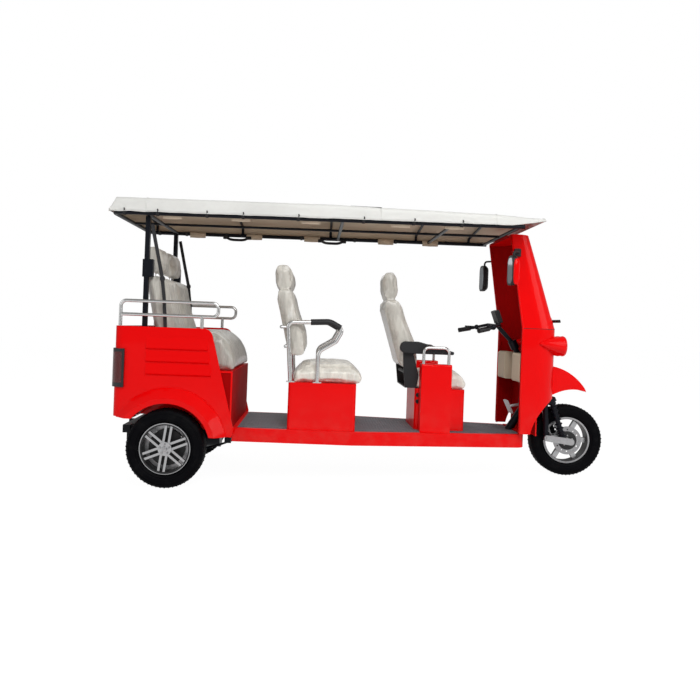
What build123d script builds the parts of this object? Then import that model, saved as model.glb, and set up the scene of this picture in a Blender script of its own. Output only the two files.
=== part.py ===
"""Long open-sided electric passenger tricycle: three seat rows, fabric roof, handlebar steering.

Chassis pieces are drawn level in the body frame: X forward from the rear axle, Y to the left, Z up from
the road below that axle. The empty springs hold the body a little nose down, so every body piece is turned
by RAKE about the rear contact line, and the whole is centred over the origin on the road.
"""
import math
import os

from build123d import *

# Stance and wheels
SOFT_GAP = 0.3
RAKE = 1.4
WHEELBASE = 2762
TYRE_R = 254
TYRE_W = 140
FRONT_TYRE_W = 112
RIM_R = 166
TYRE_WALL = 12
WHEEL_FACE_Y = 570
HUB_R = 44
AXLE_R = 16
RUNNING_GAP = 0.05
SPOKES = 6
SPOKE_W = 15
SPOKE_GAP = 20
DRUM_R = 118
DISC_R = 100
FRONT_SPOKE_W = 34

# Floor
FLOOR_Z = 380
SILL_H = 90
SILL_W = 30
DECK_T = 18
FLOOR_REAR_X = 400
FLOOR_KINK_X = 1190
FLOOR_FRONT_X = WHEELBASE - 367
FLOOR_REAR_HALF = 400
FLOOR_FRONT_HALF = 240
FLOOR_CORNER_R = 70
RAIL_W = 40
RAIL_H = 60
RAIL_Y = 180

# Rear body
TUB_WALL = 12
TUB_REAR_X = -380
TUB_LOW_Z = 330
TUB_TOP_Z = 1029
TUB_HALF = 485
TUB_CORNER_R = 60
TUB_FLANGE = 46
TAIL_Z = 440
TUB_FRONT_TOP_X = 250
TUB_FRONT_LOW_X = 418
ARCH_GAP = 36
FLARE_BAND = 95
FLARE_Y = TUB_HALF + 83
LINER_Y = TUB_HALF - 155
SIDE_SPLIT_Y = TUB_HALF - 85
RIB_COUNT = 3
RIB_TOP_Z = 961
RIB_PITCH = 83
RIB_OUT = 12
RIB_REAR_X = -166
LAMP_LOW_Z = 632
LAMP_TOP_Z = 882
LAMP_FRONT_X = TUB_REAR_X + 77
LAMP_IN_Y = TUB_HALF - 85
LAMP_T = 14

# Seats
BASE_X = FLOOR_REAR_X
BASE_T = 12
BASE_HALF = TUB_HALF - TUB_WALL - SOFT_GAP
BENCH_HALF = 424
BENCH_Z = 757
CUSHION_R = 45

# Roof
ROOF_Z = 1768
ROOF_TUBE_R = 14
ROOF_BAR_R = 12
ROOF_HALF = 474
ROOF_REAR_X = -416
ROOF_FRONT_X = WHEELBASE - 500
POST_X = -198
POST_Y = 418
POST_W = 30
CANOPY_T = 6
CANOPY_R = 28

# Fairing
FAIR_REAR_X = WHEELBASE - 427
FAIR_FRONT_X = WHEELBASE - 155
FAIR_HALF = 290
FAIR_WALL = 10
FAIR_CORNER_R = 185
FAIR_LOW_Z = 390
FAIR_SEAM_Z = 1110
FAIR_TOP_Z = 1748
FAIR_TOP_REAR_X = FAIR_REAR_X - 99
FAIR_TOP_FRONT_X = FAIR_FRONT_X - 229
FAIR_TOP_HALF = 276
FAIR_TOP_CORNER_R = 90
FAIR_FLANGE = 30
FAIR_FLANGE_T = 8
HEADER_T = 16
GLASS_LOW_Z = 1190
GLASS_TOP_Z = 1690
GLASS_HALF = 205
GLASS_T = 5
ARCH_R = 352
POD_Y = 182
POD_Z = 995
POD_R = 70
POD_TAIL_X = FAIR_FRONT_X - 167
POD_FRONT_X = FAIR_FRONT_X + 48
LENS_R = 60
LENS_SEAT = 10
LENS_DOME = 18

# Steering
HEAD_ANGLE = 27
AXIS_OFFSET = 49
HEAD_TUBE_R = 32
NECK_R = 28
STEM_R = 20
HEAD_LOW_S = 330
HEAD_TOP_S = 690
CROWN_T = 24
LEG_Y = 92
LEG_R = 19
GRIP_R = 17
BAR_R = 11


def turn(x, z, degrees):
    """Body-frame place of a road-frame point, or the other way round with the sign changed."""
    a = math.radians(degrees)
    return x * math.cos(a) - z * math.sin(a), x * math.sin(a) + z * math.cos(a)


REAR_X, REAR_Z = turn(0, TYRE_R, RAKE)
FRONT_X, FRONT_Z = turn(WHEELBASE, TYRE_R, RAKE)
SILL_Z = FLOOR_Z - SILL_H
RAIL_TOP_Z = FLOOR_Z - DECK_T
ARCH_REAR_R = TYRE_R + ARCH_GAP
FLARE_R = ARCH_REAR_R + FLARE_BAND


def outline(points, radii=0):
    """Closed face in X and Z from corner points, each corner rounded by its radius."""
    if radii == 0:
        return make_face(Polyline(*points, close=True))
    return make_face(FilletPolyline(*points, radius=radii, close=True))


def prism(face, y_from, y_to):
    """Solid from a face drawn in X and Z, between two Y planes."""
    return Pos(0, y_to, 0) * extrude(Plane.XZ * face, amount=y_to - y_from)


def slab(x_from, x_to, y_from, y_to, z_from, z_to):
    """Box between two corners."""
    size = Box(x_to - x_from, y_to - y_from, z_to - z_from)
    return Pos((x_from + x_to) / 2, (y_from + y_to) / 2, (z_from + z_to) / 2) * size


def rod(start, end, radius):
    """Round bar between two points."""
    start, end = Vector(*start), Vector(*end)
    run = Plane(origin=start, z_dir=end - start)
    return run * Pos(0, 0, (end - start).length / 2) * Cylinder(radius, (end - start).length)


def tube(points, bend, radius):
    """Bent round bar along points, with one bend radius."""
    path = FilletPolyline(*points, radius=bend)
    section = Plane(origin=path @ 0, z_dir=path % 0) * Circle(radius)
    return sweep(section, path=path)


def ring_y(x, z, radius, y_from, y_to):
    """Cylinder along Y."""
    body = Rot(90, 0, 0) * Cylinder(radius, y_to - y_from)
    return Pos(x, (y_from + y_to) / 2, z) * body


def both_sides(shape):
    """The shape and its mirror image across the middle plane, as separate solids."""
    return Compound([shape, mirror(shape, about=Plane.XZ)])


def as_one(solids):
    """A list of solids as one compound that keeps them apart."""
    return Compound([s for shape in solids for s in shape.solids()])


# Steering axis: points along it by s, with forward and side offsets square to it
HEAD = math.radians(HEAD_ANGLE)
AXIS_FOOT = (FRONT_X - AXIS_OFFSET, 0, FRONT_Z)
AXIS_UP = (-math.sin(HEAD), 0, math.cos(HEAD))


def on_axis(s, forward=0.0, side=0.0):
    """Point at height s up the steering axis."""
    x = AXIS_FOOT[0] + s * AXIS_UP[0] + forward * math.cos(HEAD)
    z = AXIS_FOOT[2] + s * AXIS_UP[2] + forward * math.sin(HEAD)
    return x, side, z


def floor_face(inset):
    """Floor plan, full width behind the kink and narrowing to the front."""
    front = FLOOR_FRONT_X - inset
    rear = FLOOR_REAR_X + inset
    wide = FLOOR_REAR_HALF - inset
    narrow = FLOOR_FRONT_HALF - inset
    corner = FLOOR_CORNER_R - inset
    points = [(rear, -wide), (FLOOR_KINK_X, -wide), (front, -narrow)]
    points += [(x, -y) for x, y in reversed(points)]
    return make_face(FilletPolyline(*points, radius=[0, 0, corner, corner, 0, 0], close=True))


def neck(grow):
    """Neck bar from the front crossmember up to the head tube."""
    start = (FLOOR_FRONT_X - SILL_W - 45, 0, RAIL_TOP_Z - RAIL_H / 2)
    return rod(start, on_axis(HEAD_LOW_S + 60), NECK_R + grow)


def floor_sill():
    """Red outer sill all round the floor."""
    wall = extrude(floor_face(0), SILL_H) - extrude(floor_face(SILL_W), SILL_H)
    sill = Pos(0, 0, SILL_Z) * wall - neck(2)
    for side in (-1, 1):
        y = sorted((side * (RAIL_Y - RAIL_W / 2 - 2), side * (RAIL_Y + RAIL_W / 2 + 2)))
        sill -= slab(FLOOR_REAR_X - 5, FLOOR_REAR_X + SILL_W + 5, *y, SILL_Z - 1, RAIL_TOP_Z + SOFT_GAP)
    return sill


def floor_deck():
    """Deck plate that lies inside the sill."""
    return Pos(0, 0, RAIL_TOP_Z) * extrude(floor_face(SILL_W), DECK_T) - neck(2)


def chassis_frame():
    """Two long rails with crossmembers, spring hangers, tow eye, neck and head tube."""
    rear_x, front_x = TUB_REAR_X + 60, FLOOR_FRONT_X - SILL_W
    low = RAIL_TOP_Z - RAIL_H
    half = FLOOR_FRONT_HALF - SILL_W - RAIL_W
    frame = None
    for side in (-1, 1):
        plan = [(rear_x, side * RAIL_Y), (FLOOR_KINK_X, side * RAIL_Y), (front_x - 30, side * half)]
        path = Polyline(*plan)
        section = Plane(origin=path @ 0, z_dir=path % 0) * Rectangle(RAIL_H, RAIL_W)
        long_rail = Pos(0, 0, low + RAIL_H / 2) * sweep(section, path=path, transition=Transition.RIGHT)
        frame = long_rail if frame is None else frame + long_rail
    # crossmember stations: x, half length
    for x, reach in ((rear_x, 330), (460, 365), (FLOOR_KINK_X, 365), (1700, 290), (front_x - 45, 195)):
        frame += slab(x - 25, x + 25, -reach, reach, low + 8, RAIL_TOP_Z)
    for side in (-1, 1):
        y = side * SPRING_Y
        for x, top in ((SPRING_FRONT_X, RAIL_TOP_Z), (SPRING_REAR_X, RAIL_TOP_Z)):
            arm = slab(x - 22, x + 22, min(0, y) + 150 * (side > 0), max(0, y) - 150 * (side < 0),
                       top - 50, top)
            frame += arm
            for cheek in (-1, 1):
                at = y + cheek * (SPRING_W / 2 + 4.3)
                plate = slab(x - 22, x + 22, at - 4, at + 4, SPRING_EYE_Z - 22, top)
                frame += plate
            frame += ring_y(x, SPRING_EYE_Z, SPRING_PIN_R, y - SPRING_W / 2 - 9, y + SPRING_W / 2 + 9)
    frame += neck(0)
    frame += rod(on_axis(HEAD_LOW_S), on_axis(HEAD_TOP_S), HEAD_TUBE_R)
    frame -= rod(on_axis(HEAD_LOW_S - 5), on_axis(HEAD_TOP_S + 5), STEM_R + RUNNING_GAP)
    eye = slab(rear_x - 75, rear_x - 20, -TOW_T / 2, TOW_T / 2, low + 10, RAIL_TOP_Z - 6)
    eye -= ring_y(TOW_X, TOW_Z, TOW_R, -TOW_T, TOW_T)
    return frame + eye


# Leaf springs and axle
SPRING_Y = 275
SPRING_W = 50
SPRING_FRONT_X = 362
SPRING_REAR_X = -300
SPRING_EYE_Z = 282
SPRING_EYE_R = 19
SPRING_PIN_R = 9
LEAF_T = 8
LEAVES = 3
AXLE_TUBE_R = 36
TOW_T = 14
TOW_R = 8
TOW_X = TUB_REAR_X + 60 - 50
TOW_Z = RAIL_TOP_Z - RAIL_H / 2 + 2
SPRING_SEAT_Z = REAR_Z - AXLE_TUBE_R - 16


def leaf_springs():
    """Leaf packs that hang under the axle, with rolled eyes on the hanger pins."""
    mid_x = REAR_X
    pack = None
    for leaf in range(LEAVES):
        share = 1 - 0.28 * leaf
        drop = leaf * LEAF_T
        ends = []
        for eye_x in (SPRING_REAR_X, SPRING_FRONT_X):
            rise = (SPRING_EYE_Z - 14 - SPRING_SEAT_Z) * share ** 2
            ends.append((mid_x + (eye_x - mid_x) * share, SPRING_SEAT_Z + rise - drop))
        middle = (mid_x, SPRING_SEAT_Z - drop)
        top = ThreePointArc(ends[0], middle, ends[1])
        low = ThreePointArc(*[(x, z - LEAF_T) for x, z in (ends[0], middle, ends[1])])
        face = make_face([top, low, Line(top @ 0, low @ 0), Line(top @ 1, low @ 1)])
        blade = prism(face, -SPRING_W / 2, SPRING_W / 2)
        pack = blade if pack is None else pack + blade
    for x in (SPRING_REAR_X, SPRING_FRONT_X):
        pack += ring_y(x, SPRING_EYE_Z, SPRING_EYE_R, -SPRING_W / 2, SPRING_W / 2)
        pack -= ring_y(x, SPRING_EYE_Z, SPRING_PIN_R + SOFT_GAP, -SPRING_W, SPRING_W)
    return both_sides(Pos(0, SPRING_Y, 0) * pack)


def rear_axle():
    """Axle tube with gear housing, motor and spring saddles; the stub ends carry the wheels."""
    reach = WHEEL_FACE_Y - TYRE_W - 20
    axle = ring_y(REAR_X, REAR_Z, AXLE_TUBE_R, -reach, reach)
    housing = Pos(REAR_X, 0, REAR_Z) * Sphere(96)
    axle += housing
    axle += Pos(REAR_X + 165, 0, REAR_Z) * Rot(0, 90, 0) * Cylinder(78, 230)
    for side in (-1, 1):
        y = side * SPRING_Y
        axle += slab(REAR_X - 45, REAR_X + 45, y - 27, y + 27, SPRING_SEAT_Z + SOFT_GAP + 1, REAR_Z)
        stub_end = side * (WHEEL_FACE_Y - 30)
        axle += ring_y(REAR_X, REAR_Z, AXLE_R, min(0, stub_end), max(0, stub_end))
        flange_y = side * (reach + 4)
        axle += ring_y(REAR_X, REAR_Z, 62, flange_y - 5, flange_y + 5)
    return axle


# Rear body shell
def tub_solid(grow, z_low, z_top, front_x):
    """Outer form of the rear body, grown outwards by a distance, between two heights."""
    half = TUB_HALF + grow
    rear = TUB_REAR_X - grow
    corner = TUB_CORNER_R + grow
    points = [(front_x, -half), (rear, -half), (rear, half), (front_x, half)]
    plan = make_face(FilletPolyline(*points, radius=[0, corner, corner, 0], close=True))
    return Pos(0, 0, z_low) * extrude(plan, z_top - z_low)


def tub_outline():
    """Side view of the rear body: sloped front edge, raised tail and wheel arch."""
    far = TUB_REAR_X - 60
    points = [(far, TAIL_Z), (far, TUB_TOP_Z), (TUB_FRONT_TOP_X, TUB_TOP_Z), (TUB_FRONT_LOW_X, FLOOR_Z)]
    points += [(TUB_FRONT_LOW_X - 12, TUB_LOW_Z), (REAR_X + 120, TUB_LOW_Z + 14), (REAR_X - 100, TAIL_Z)]
    sides = outline(points, [0, 0, 62, 0, 0, 0, 0])
    return sides - Pos(REAR_X, REAR_Z) * Circle(ARCH_REAR_R)


def tub_shell():
    """Thin wall of the rear body with its top flange, before it is split into panels."""
    open_x = TUB_FRONT_LOW_X + 200
    wall = tub_solid(0, TUB_LOW_Z, TUB_TOP_Z, open_x)
    wall -= tub_solid(-TUB_WALL, TUB_LOW_Z, TUB_TOP_Z - TUB_WALL, open_x)
    wall -= tub_solid(-TUB_FLANGE, TUB_TOP_Z - 2 * TUB_WALL, TUB_TOP_Z, open_x)
    return wall & prism(tub_outline(), -TUB_HALF - 100, TUB_HALF + 100)


def rear_side():
    """Left side panel: wall, flared arch, wheel liner and stepped ribs."""
    panel = tub_shell() & slab(TUB_REAR_X - 50, 700, SIDE_SPLIT_Y, 700, 0, 1200)
    clip = prism(tub_outline(), 0, TUB_HALF + 200)
    band_in = TUB_HALF - 2
    flare = ring_y(REAR_X, REAR_Z, FLARE_R, band_in, FLARE_Y)
    flare = chamfer(flare.edges().sort_by(Axis.Y)[-1], FLARE_Y - band_in - 16, FLARE_BAND - 34)
    flare -= ring_y(REAR_X, REAR_Z, ARCH_REAR_R, band_in - 10, FLARE_Y + 10)
    panel += flare & clip
    liner = ring_y(REAR_X, REAR_Z, ARCH_REAR_R + 10, LINER_Y - 10, band_in + 4)
    liner -= ring_y(REAR_X, REAR_Z, ARCH_REAR_R, LINER_Y, band_in + 20)
    keep = slab(-700, 700, 0, 700, TAIL_Z, 1200) + slab(REAR_X, 700, 0, 700, TUB_LOW_Z + 20, 1200)
    panel += liner & keep
    for rib in range(RIB_COUNT):
        top = RIB_TOP_Z - rib * RIB_PITCH
        low = top - RIB_PITCH
        wedge = [(TUB_HALF - 4, top), (TUB_HALF, top), (TUB_HALF + RIB_OUT, low + 14)]
        wedge += [(TUB_HALF, low + 4), (TUB_HALF - 4, low + 4)]
        front = TUB_FRONT_TOP_X - 42 + (TUB_TOP_Z - low) / (TUB_TOP_Z - FLOOR_Z) * 110
        face = Plane.YZ * make_face(Polyline(*wedge, close=True))
        panel += Pos(RIB_REAR_X, 0, 0) * extrude(face, front - RIB_REAR_X)
    return panel


def rear_panel():
    """Tail panel between the two sides."""
    return tub_shell() & slab(TUB_REAR_X - 50, 700, -SIDE_SPLIT_Y, SIDE_SPLIT_Y, 0, 1200)


def tail_lamps():
    """Tail lamps wrapped round the rear corners."""
    wrap = tub_solid(LAMP_T, TUB_LOW_Z, TUB_TOP_Z, 0) - tub_solid(0, TUB_LOW_Z - 1, TUB_TOP_Z + 1, 10)
    lamp = wrap & slab(TUB_REAR_X - 60, LAMP_FRONT_X, LAMP_IN_Y, 700, LAMP_LOW_Z, LAMP_TOP_Z)
    return both_sides(lamp)


def rear_seat_base():
    """Front panel and top board of the bench, over the axle and battery."""
    board = slab(TUB_REAR_X + 40, BASE_X, -BASE_HALF, BASE_HALF, BENCH_Z - BASE_T, BENCH_Z)
    board = chamfer(board.edges().filter_by(Axis.Z).group_by(Axis.X)[0], 40)
    front = slab(BASE_X - BASE_T, BASE_X, -BASE_HALF, BASE_HALF, RAIL_TOP_Z, BENCH_Z)
    base = board + front
    for side in (-1, 1):
        y = side * (BASE_HALF - 25)
        base += slab(TUB_REAR_X + 60, TUB_REAR_X + 100, y - 15, y + 15, BENCH_Z - 180, BENCH_Z)
    return base


def battery_pack():
    """Battery block on the chassis rails under the bench."""
    return slab(110, 360, -250, 250, RAIL_TOP_Z, RAIL_TOP_Z + 270)


# Seats. Columns of SEATS: rear x of the base, recline run, base z, shoulder z, head z range, thickness
def seat_profile(bottom, lean, z_low, z_top, thick):
    """Side view of a seat back that leans backwards."""
    top = bottom - lean
    points = [(bottom, z_low), (top, z_top), (top - thick, z_top), (bottom - thick, z_low)]
    return outline(points, [30, 34, 34, 30])


def head_rest(x_rear, x_front, z_low, z_top, width):
    """Rounded head rest with two stay bars down into the back."""
    pad = prism(outline([(x_rear + 12, z_low), (x_front, z_low), (x_front - 18, z_top), (x_rear, z_top)],
                        [20, 30, 40, 30]), -width / 2, width / 2)
    return pad


def seat_back(bottom, lean, z_low, z_top, thick, width, head, head_width):
    """One seat back with its head rest and stay bars, centred on Y zero."""
    back = prism(seat_profile(bottom, lean, z_low, z_top, thick), -width / 2, width / 2)
    back += head_rest(*head, head_width)
    middle = (head[0] + head[1]) / 2
    for side in (-1, 1):
        back += slab(middle - 6, middle + 6, side * 55 - 6, side * 55 + 6, z_top - 30, head[2] + 30)
    return back


def cushion(points, radii, half):
    """Plain cushion of one side view over a half width."""
    return prism(outline(points, radii), -half, half)


REAR_BACK_Y = 208
REAR_BACK_W = 380


def rear_seat_cushion():
    """Thick bench cushion with a long rounded front."""
    low = BENCH_Z + SOFT_GAP
    points = [(38, low), (422, low), (418, 880), (330, 1014), (-14, 1014)]
    return cushion(points, [20, 30, 90, 70, 20], BENCH_HALF)


def rear_seat_backs():
    """Two separate backs on the bench board."""
    back = seat_back(30, 125, BENCH_Z + SOFT_GAP, 1370, 118, REAR_BACK_W, (-228, -122, 1392, 1574), 250)
    return as_one([Pos(0, y, 0) * back for y in (-REAR_BACK_Y, REAR_BACK_Y)])


BELT_Y = 436.5
BELT_T = 3
BELT_W = 34


def seat_belts():
    """Shoulder belts from the posts down beside the bench cushion."""
    x = POST_X + POST_W / 2 + SOFT_GAP
    points = [(x, 1690), (x + BELT_W, 1690), (-30, 1245), (-8, BENCH_Z), (-8 - BELT_W, BENCH_Z),
              (-30 - BELT_W, 1240)]
    belt = prism(outline(points), BELT_Y - BELT_T, BELT_Y)
    buckle = slab(-64, -14, BELT_Y - 12, BELT_Y + 4, 1200, 1250)
    return both_sides(belt + buckle)


RAIL_TUBE_R = 11
LUGGAGE_Y = 455
LUGGAGE_TOP_Z = 1196
LUGGAGE_LOW_Z = 1107


def luggage_rails():
    """Stainless side rails over the rear body, each bent from one tube with two feet."""
    rear, front = TUB_REAR_X + 32, 290
    points = [(rear, TUB_TOP_Z), (rear, LUGGAGE_TOP_Z), (front, LUGGAGE_TOP_Z), (front, LUGGAGE_LOW_Z),
              (rear, LUGGAGE_LOW_Z)]
    path = [(x, 0, z) for x, z in points]
    rail = tube(path, 36, RAIL_TUBE_R)
    rail += rod((185, 0, TUB_TOP_Z), (185, 0, LUGGAGE_LOW_Z), RAIL_TUBE_R)
    return both_sides(Pos(0, LUGGAGE_Y, 0) * rail)


def roof_posts():
    """Rear roof posts with belt-reel sleeves, standing on the bench board."""
    top = ROOF_Z - ROOF_BAR_R - SOFT_GAP
    half = POST_W / 2
    post = slab(POST_X - half, POST_X + half, POST_Y - half, POST_Y + half, BENCH_Z, top)
    post += slab(POST_X - half - 9, POST_X + half + 30, POST_Y - half, POST_Y + half + 6, 1356, 1472)
    post += slab(POST_X - half - 20, POST_X + half + 20, POST_Y - half, POST_Y + half, BENCH_Z,
                 BENCH_Z + 10)
    return both_sides(post)


# Canopy stations: x, half width, hem z, edge z, crown z
CANOPY = (
    (-440, 496, 1757, 1786, 1796),
    (-394, 500, 1757, 1866, 1902),
    (1000, 500, 1757, 1866, 1910),
    (ROOF_FRONT_X - 195, 500, 1757, 1842, 1880),
    (ROOF_FRONT_X + 136, 488, 1808, 1824, 1858),
)
BOW_X = (-360, 320, 1020, 1700, ROOF_FRONT_X - 142)


def canopy_section(x, half, hem, edge, crown, inset):
    """Cross section of the canopy at one station."""
    half, edge, crown = half - inset, edge - inset, crown - inset
    hem = hem - 40 * (inset > 0)
    over = ThreePointArc((-half, edge), (0, crown), (half, edge))
    walls = Polyline((half, edge), (half, hem), (-half, hem), (-half, edge))
    return Plane(origin=(x, 0, 0), x_dir=(0, 1, 0), z_dir=(1, 0, 0)) * make_face([over, walls])


def canopy():
    """Fabric roof: one crowned sheet with hanging side valances and a raised front peak."""
    outer = loft([canopy_section(*row, 0) for row in CANOPY], ruled=True)
    inner_rows = [list(row) for row in CANOPY]
    inner_rows[0][0] += CANOPY_T
    inner_rows[-1][0] -= CANOPY_T
    return outer - loft([canopy_section(*row, CANOPY_T) for row in inner_rows], ruled=True)


def canopy_height(x, column):
    """Canopy height at x from one column of the station table."""
    for low, high in zip(CANOPY, CANOPY[1:]):
        if low[0] <= x <= high[0]:
            share = (x - low[0]) / (high[0] - low[0])
            return low[column] + share * (high[column] - low[column])
    return CANOPY[-1][column]


def roof_frame():
    """Perimeter tubes, crossbars, middle bar and the bows that carry the canopy."""
    frame = tube([(ROOF_FRONT_X, -ROOF_HALF, ROOF_Z), (ROOF_REAR_X, -ROOF_HALF, ROOF_Z),
                  (ROOF_REAR_X, ROOF_HALF, ROOF_Z), (ROOF_FRONT_X, ROOF_HALF, ROOF_Z)], 60, ROOF_TUBE_R)
    for x in (POST_X, 1080, 1800, ROOF_FRONT_X - ROOF_TUBE_R - 8):
        frame += rod((x, -ROOF_HALF, ROOF_Z), (x, ROOF_HALF, ROOF_Z), ROOF_BAR_R)
    frame += rod((ROOF_REAR_X, 0, ROOF_Z), (ROOF_FRONT_X - ROOF_TUBE_R - 8, 0, ROOF_Z), ROOF_BAR_R - 3)
    bow_r = ROOF_TUBE_R - 4
    for x in BOW_X:
        edge = canopy_height(x, 3) - CANOPY_T - 26
        crown = canopy_height(x, 4) - CANOPY_T - bow_r - SOFT_GAP
        points = [(x, -ROOF_HALF, ROOF_Z), (x, -ROOF_HALF, edge), (x, 0, crown), (x, ROOF_HALF, edge),
                  (x, ROOF_HALF, ROOF_Z)]
        frame += tube(points, [24, 60, 24], bow_r)
    return frame


# Middle row
MID_BOX_X = (760, 1214)
MID_BOX_HALF = 380
MID_BOX_TOP = 693
BOX_R = 24
MID_TUBE_R = 14
MID_TUBE_Y = MID_BOX_HALF - MID_TUBE_R - 1
MID_BACK_Y = 174
MID_BACK_W = 336


def seat_box(x_from, x_to, half, top):
    """Moulded seat box with rounded upright corners, hollow underneath."""
    box = slab(x_from, x_to, -half, half, FLOOR_Z, top)
    box = fillet(box.edges().filter_by(Axis.Z), BOX_R)
    wall = 14
    return box - slab(x_from + wall, x_to - wall, -half + wall, half - wall, FLOOR_Z - 1, top - wall)


def middle_seat_box():
    """Red box under the middle bench."""
    return seat_box(*MID_BOX_X, MID_BOX_HALF, MID_BOX_TOP)


def middle_seat_cushion():
    """Middle bench cushion."""
    low = MID_BOX_TOP + SOFT_GAP
    x_from, x_to = MID_BOX_X[0] + 26, MID_BOX_X[1] + 44
    points = [(x_from, low), (x_to - 14, low), (x_to, 760), (x_to - 30, 832), (x_from + 10, 822)]
    return cushion(points, [24, 30, 24, 40, 24], MID_TUBE_Y - MID_TUBE_R - 1)


def middle_seat_backs():
    """Two backs of the middle row, carried by the crossbars of the armrest frame."""
    back = seat_back(868, 110, 866, 1318, 108, MID_BACK_W, (640, 764, 1322, 1488), 250)
    return as_one([Pos(0, y, 0) * back for y in (-MID_BACK_Y, MID_BACK_Y)])


def middle_rear_x(z):
    """Rear face of the middle backs at a height."""
    return 868 - 108 - 110 * (z - 866) / (1318 - 866)


def middle_armrests():
    """Bent armrest tube on each side, joined by two bars behind the backs."""
    path = [(772, MID_BOX_TOP), (742, 1092), (905, 1098), (1024, 1104), (1112, 1056), (1066, 972),
            (951, 902), (951, MID_BOX_TOP)]
    bends = [36, 300, 80, 34, 40, 60]
    frame = None
    for side in (-1, 1):
        points = [(x, side * MID_TUBE_Y, z) for x, z in path]
        bent = tube(points, bends, MID_TUBE_R)
        for x in (path[0][0], path[-1][0]):
            bent += Pos(x, side * MID_TUBE_Y, MID_BOX_TOP + 4) * Box(56, 24, 8)
        frame = bent if frame is None else frame + bent
    bar_r = 12
    for z in (930, 1060):
        x = middle_rear_x(z) - bar_r / math.cos(math.atan2(110, 452)) - SOFT_GAP
        frame += rod((x, -MID_TUBE_Y - 3, z), (x, MID_TUBE_Y + 3, z), bar_r)
        post_x = 772 - 30 * (z - MID_BOX_TOP) / (1092 - MID_BOX_TOP)
        for side in (-1, 1):
            frame += rod((x, side * (MID_TUBE_Y - 1), z), (post_x, side * (MID_TUBE_Y - 1), z), bar_r - 2.5)
    return frame


def middle_armrest_grips():
    """Black grip sleeves on the armrest tubes."""
    path = [(895, 1097.63), (905, 1098), (1024, 1104), (1095, 1065.3)]
    points = [(x, MID_TUBE_Y, z) for x, z in path]
    line = FilletPolyline(*points, radius=[300, 80])
    plane = Plane(origin=line @ 0, z_dir=line % 0)
    bore = sweep(plane * Circle(MID_TUBE_R + 0.1), path=line)
    sleeve = sweep(plane * Circle(MID_TUBE_R + 6), path=line) - bore
    return both_sides(sleeve)


# Driver's place
DRIVER_BOX_X = (1632, 1978)
DRIVER_BOX_HALF = 205
DRIVER_BOX_TOP = 668
SIDE_BOX_X = (1657, 1862)
SIDE_BOX_OUT = 305
SIDE_BOX_TOP = 842
HOOP_Y = 284
HOOP_TOP_Z = 954
HOOP_R = 10


def driver_seat_box():
    """Red box under the driver."""
    return seat_box(*DRIVER_BOX_X, DRIVER_BOX_HALF, DRIVER_BOX_TOP)


def driver_side_boxes():
    """Red box beside the driver's seat, right and left."""
    box = slab(*SIDE_BOX_X, DRIVER_BOX_HALF, SIDE_BOX_OUT, FLOOR_Z, SIDE_BOX_TOP)
    box = fillet(box.edges().filter_by(Axis.X).sort_by(Axis.Z)[-2:], 14)
    return both_sides(box)


def driver_grab_hoops():
    """Bright hoop on each side box."""
    rear, front = SIDE_BOX_X[0] + 14, SIDE_BOX_X[1] - 20
    points = [(rear, SIDE_BOX_TOP), (rear, HOOP_TOP_Z), (front, HOOP_TOP_Z), (front, SIDE_BOX_TOP)]
    return both_sides(tube([(x, HOOP_Y, z) for x, z in points], 34, HOOP_R))


def driver_seat_cushion():
    """Driver's cushion."""
    low = DRIVER_BOX_TOP + SOFT_GAP
    points = [(1610, low), (1976, low), (1992, 730), (1962, 800), (1616, 790)]
    return cushion(points, [20, 26, 30, 40, 20], DRIVER_BOX_HALF - 6)


DRIVER_BACK = (1650, 144, 800, 1276, 118)
DRIVER_BACK_W = 400


def driver_seat_back():
    """Driver's back and head rest."""
    return seat_back(*DRIVER_BACK, DRIVER_BACK_W, (1392, 1502, 1284, 1478), 250)


def driver_seat_frame():
    """Recliner plates, cross bars under the back and the black arm pads."""
    inside = DRIVER_BACK_W / 2 + SOFT_GAP
    plate = outline([(1560, DRIVER_BOX_TOP + 2), (1640, DRIVER_BOX_TOP + 2), (1652, 760), (1590, 980),
                     (1535, 980), (1545, 800)],
                    [0, 20, 60, 25, 25, 60])
    frame = None
    for side in (-1, 1):
        y = sorted((side * inside, side * (inside + 9)))
        cheek = prism(plate, *y)
        pad_y = sorted((side * (inside + 9), side * (inside + 55)))
        pad = outline([(1508, 915), (1600, 908), (1880, 908), (1886, 928), (1640, 992), (1520, 990)],
                      [34, 40, 8, 8, 60, 36])
        cheek += fillet(prism(pad, *pad_y).edges().filter_by(Axis.Y, reverse=True), 7)
        frame = cheek if frame is None else frame + cheek
    x, z = 1544, DRIVER_BACK[2] - 18
    crossbar = slab(1560, 1600, -inside - 1, inside + 1, DRIVER_BOX_TOP + 2, DRIVER_BOX_TOP + 10)
    frame += crossbar & slab(0, 1609, -400, 400, 0, 900)
    frame += rod((1572, -inside - 1, z - 8), (1572, inside + 1, z - 8), 14)
    frame += slab(1633, 1650, -inside - 1, -DRIVER_BOX_HALF + 5, DRIVER_BOX_TOP, DRIVER_BOX_TOP + 12)
    frame += slab(1633, 1650, DRIVER_BOX_HALF - 5, inside + 1, DRIVER_BOX_TOP, DRIVER_BOX_TOP + 12)
    return frame


# Fairing
def nose_face(z, rear, front, half, corner, inset, behind):
    """Plan of the fairing at one height, open towards the rear when it reaches behind."""
    rear, front, half, corner = rear - behind, front - inset, half - inset, corner - inset
    points = [(rear, -half), (front, -half), (front, half), (rear, half)]
    return Pos(0, 0, z) * make_face(FilletPolyline(*points, radius=[0, corner, corner, 0], close=True))


LOW_NOSE = (FAIR_REAR_X, FAIR_FRONT_X, FAIR_HALF, FAIR_CORNER_R)
TOP_NOSE = (FAIR_TOP_REAR_X, FAIR_TOP_FRONT_X, FAIR_TOP_HALF, FAIR_TOP_CORNER_R)


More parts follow.
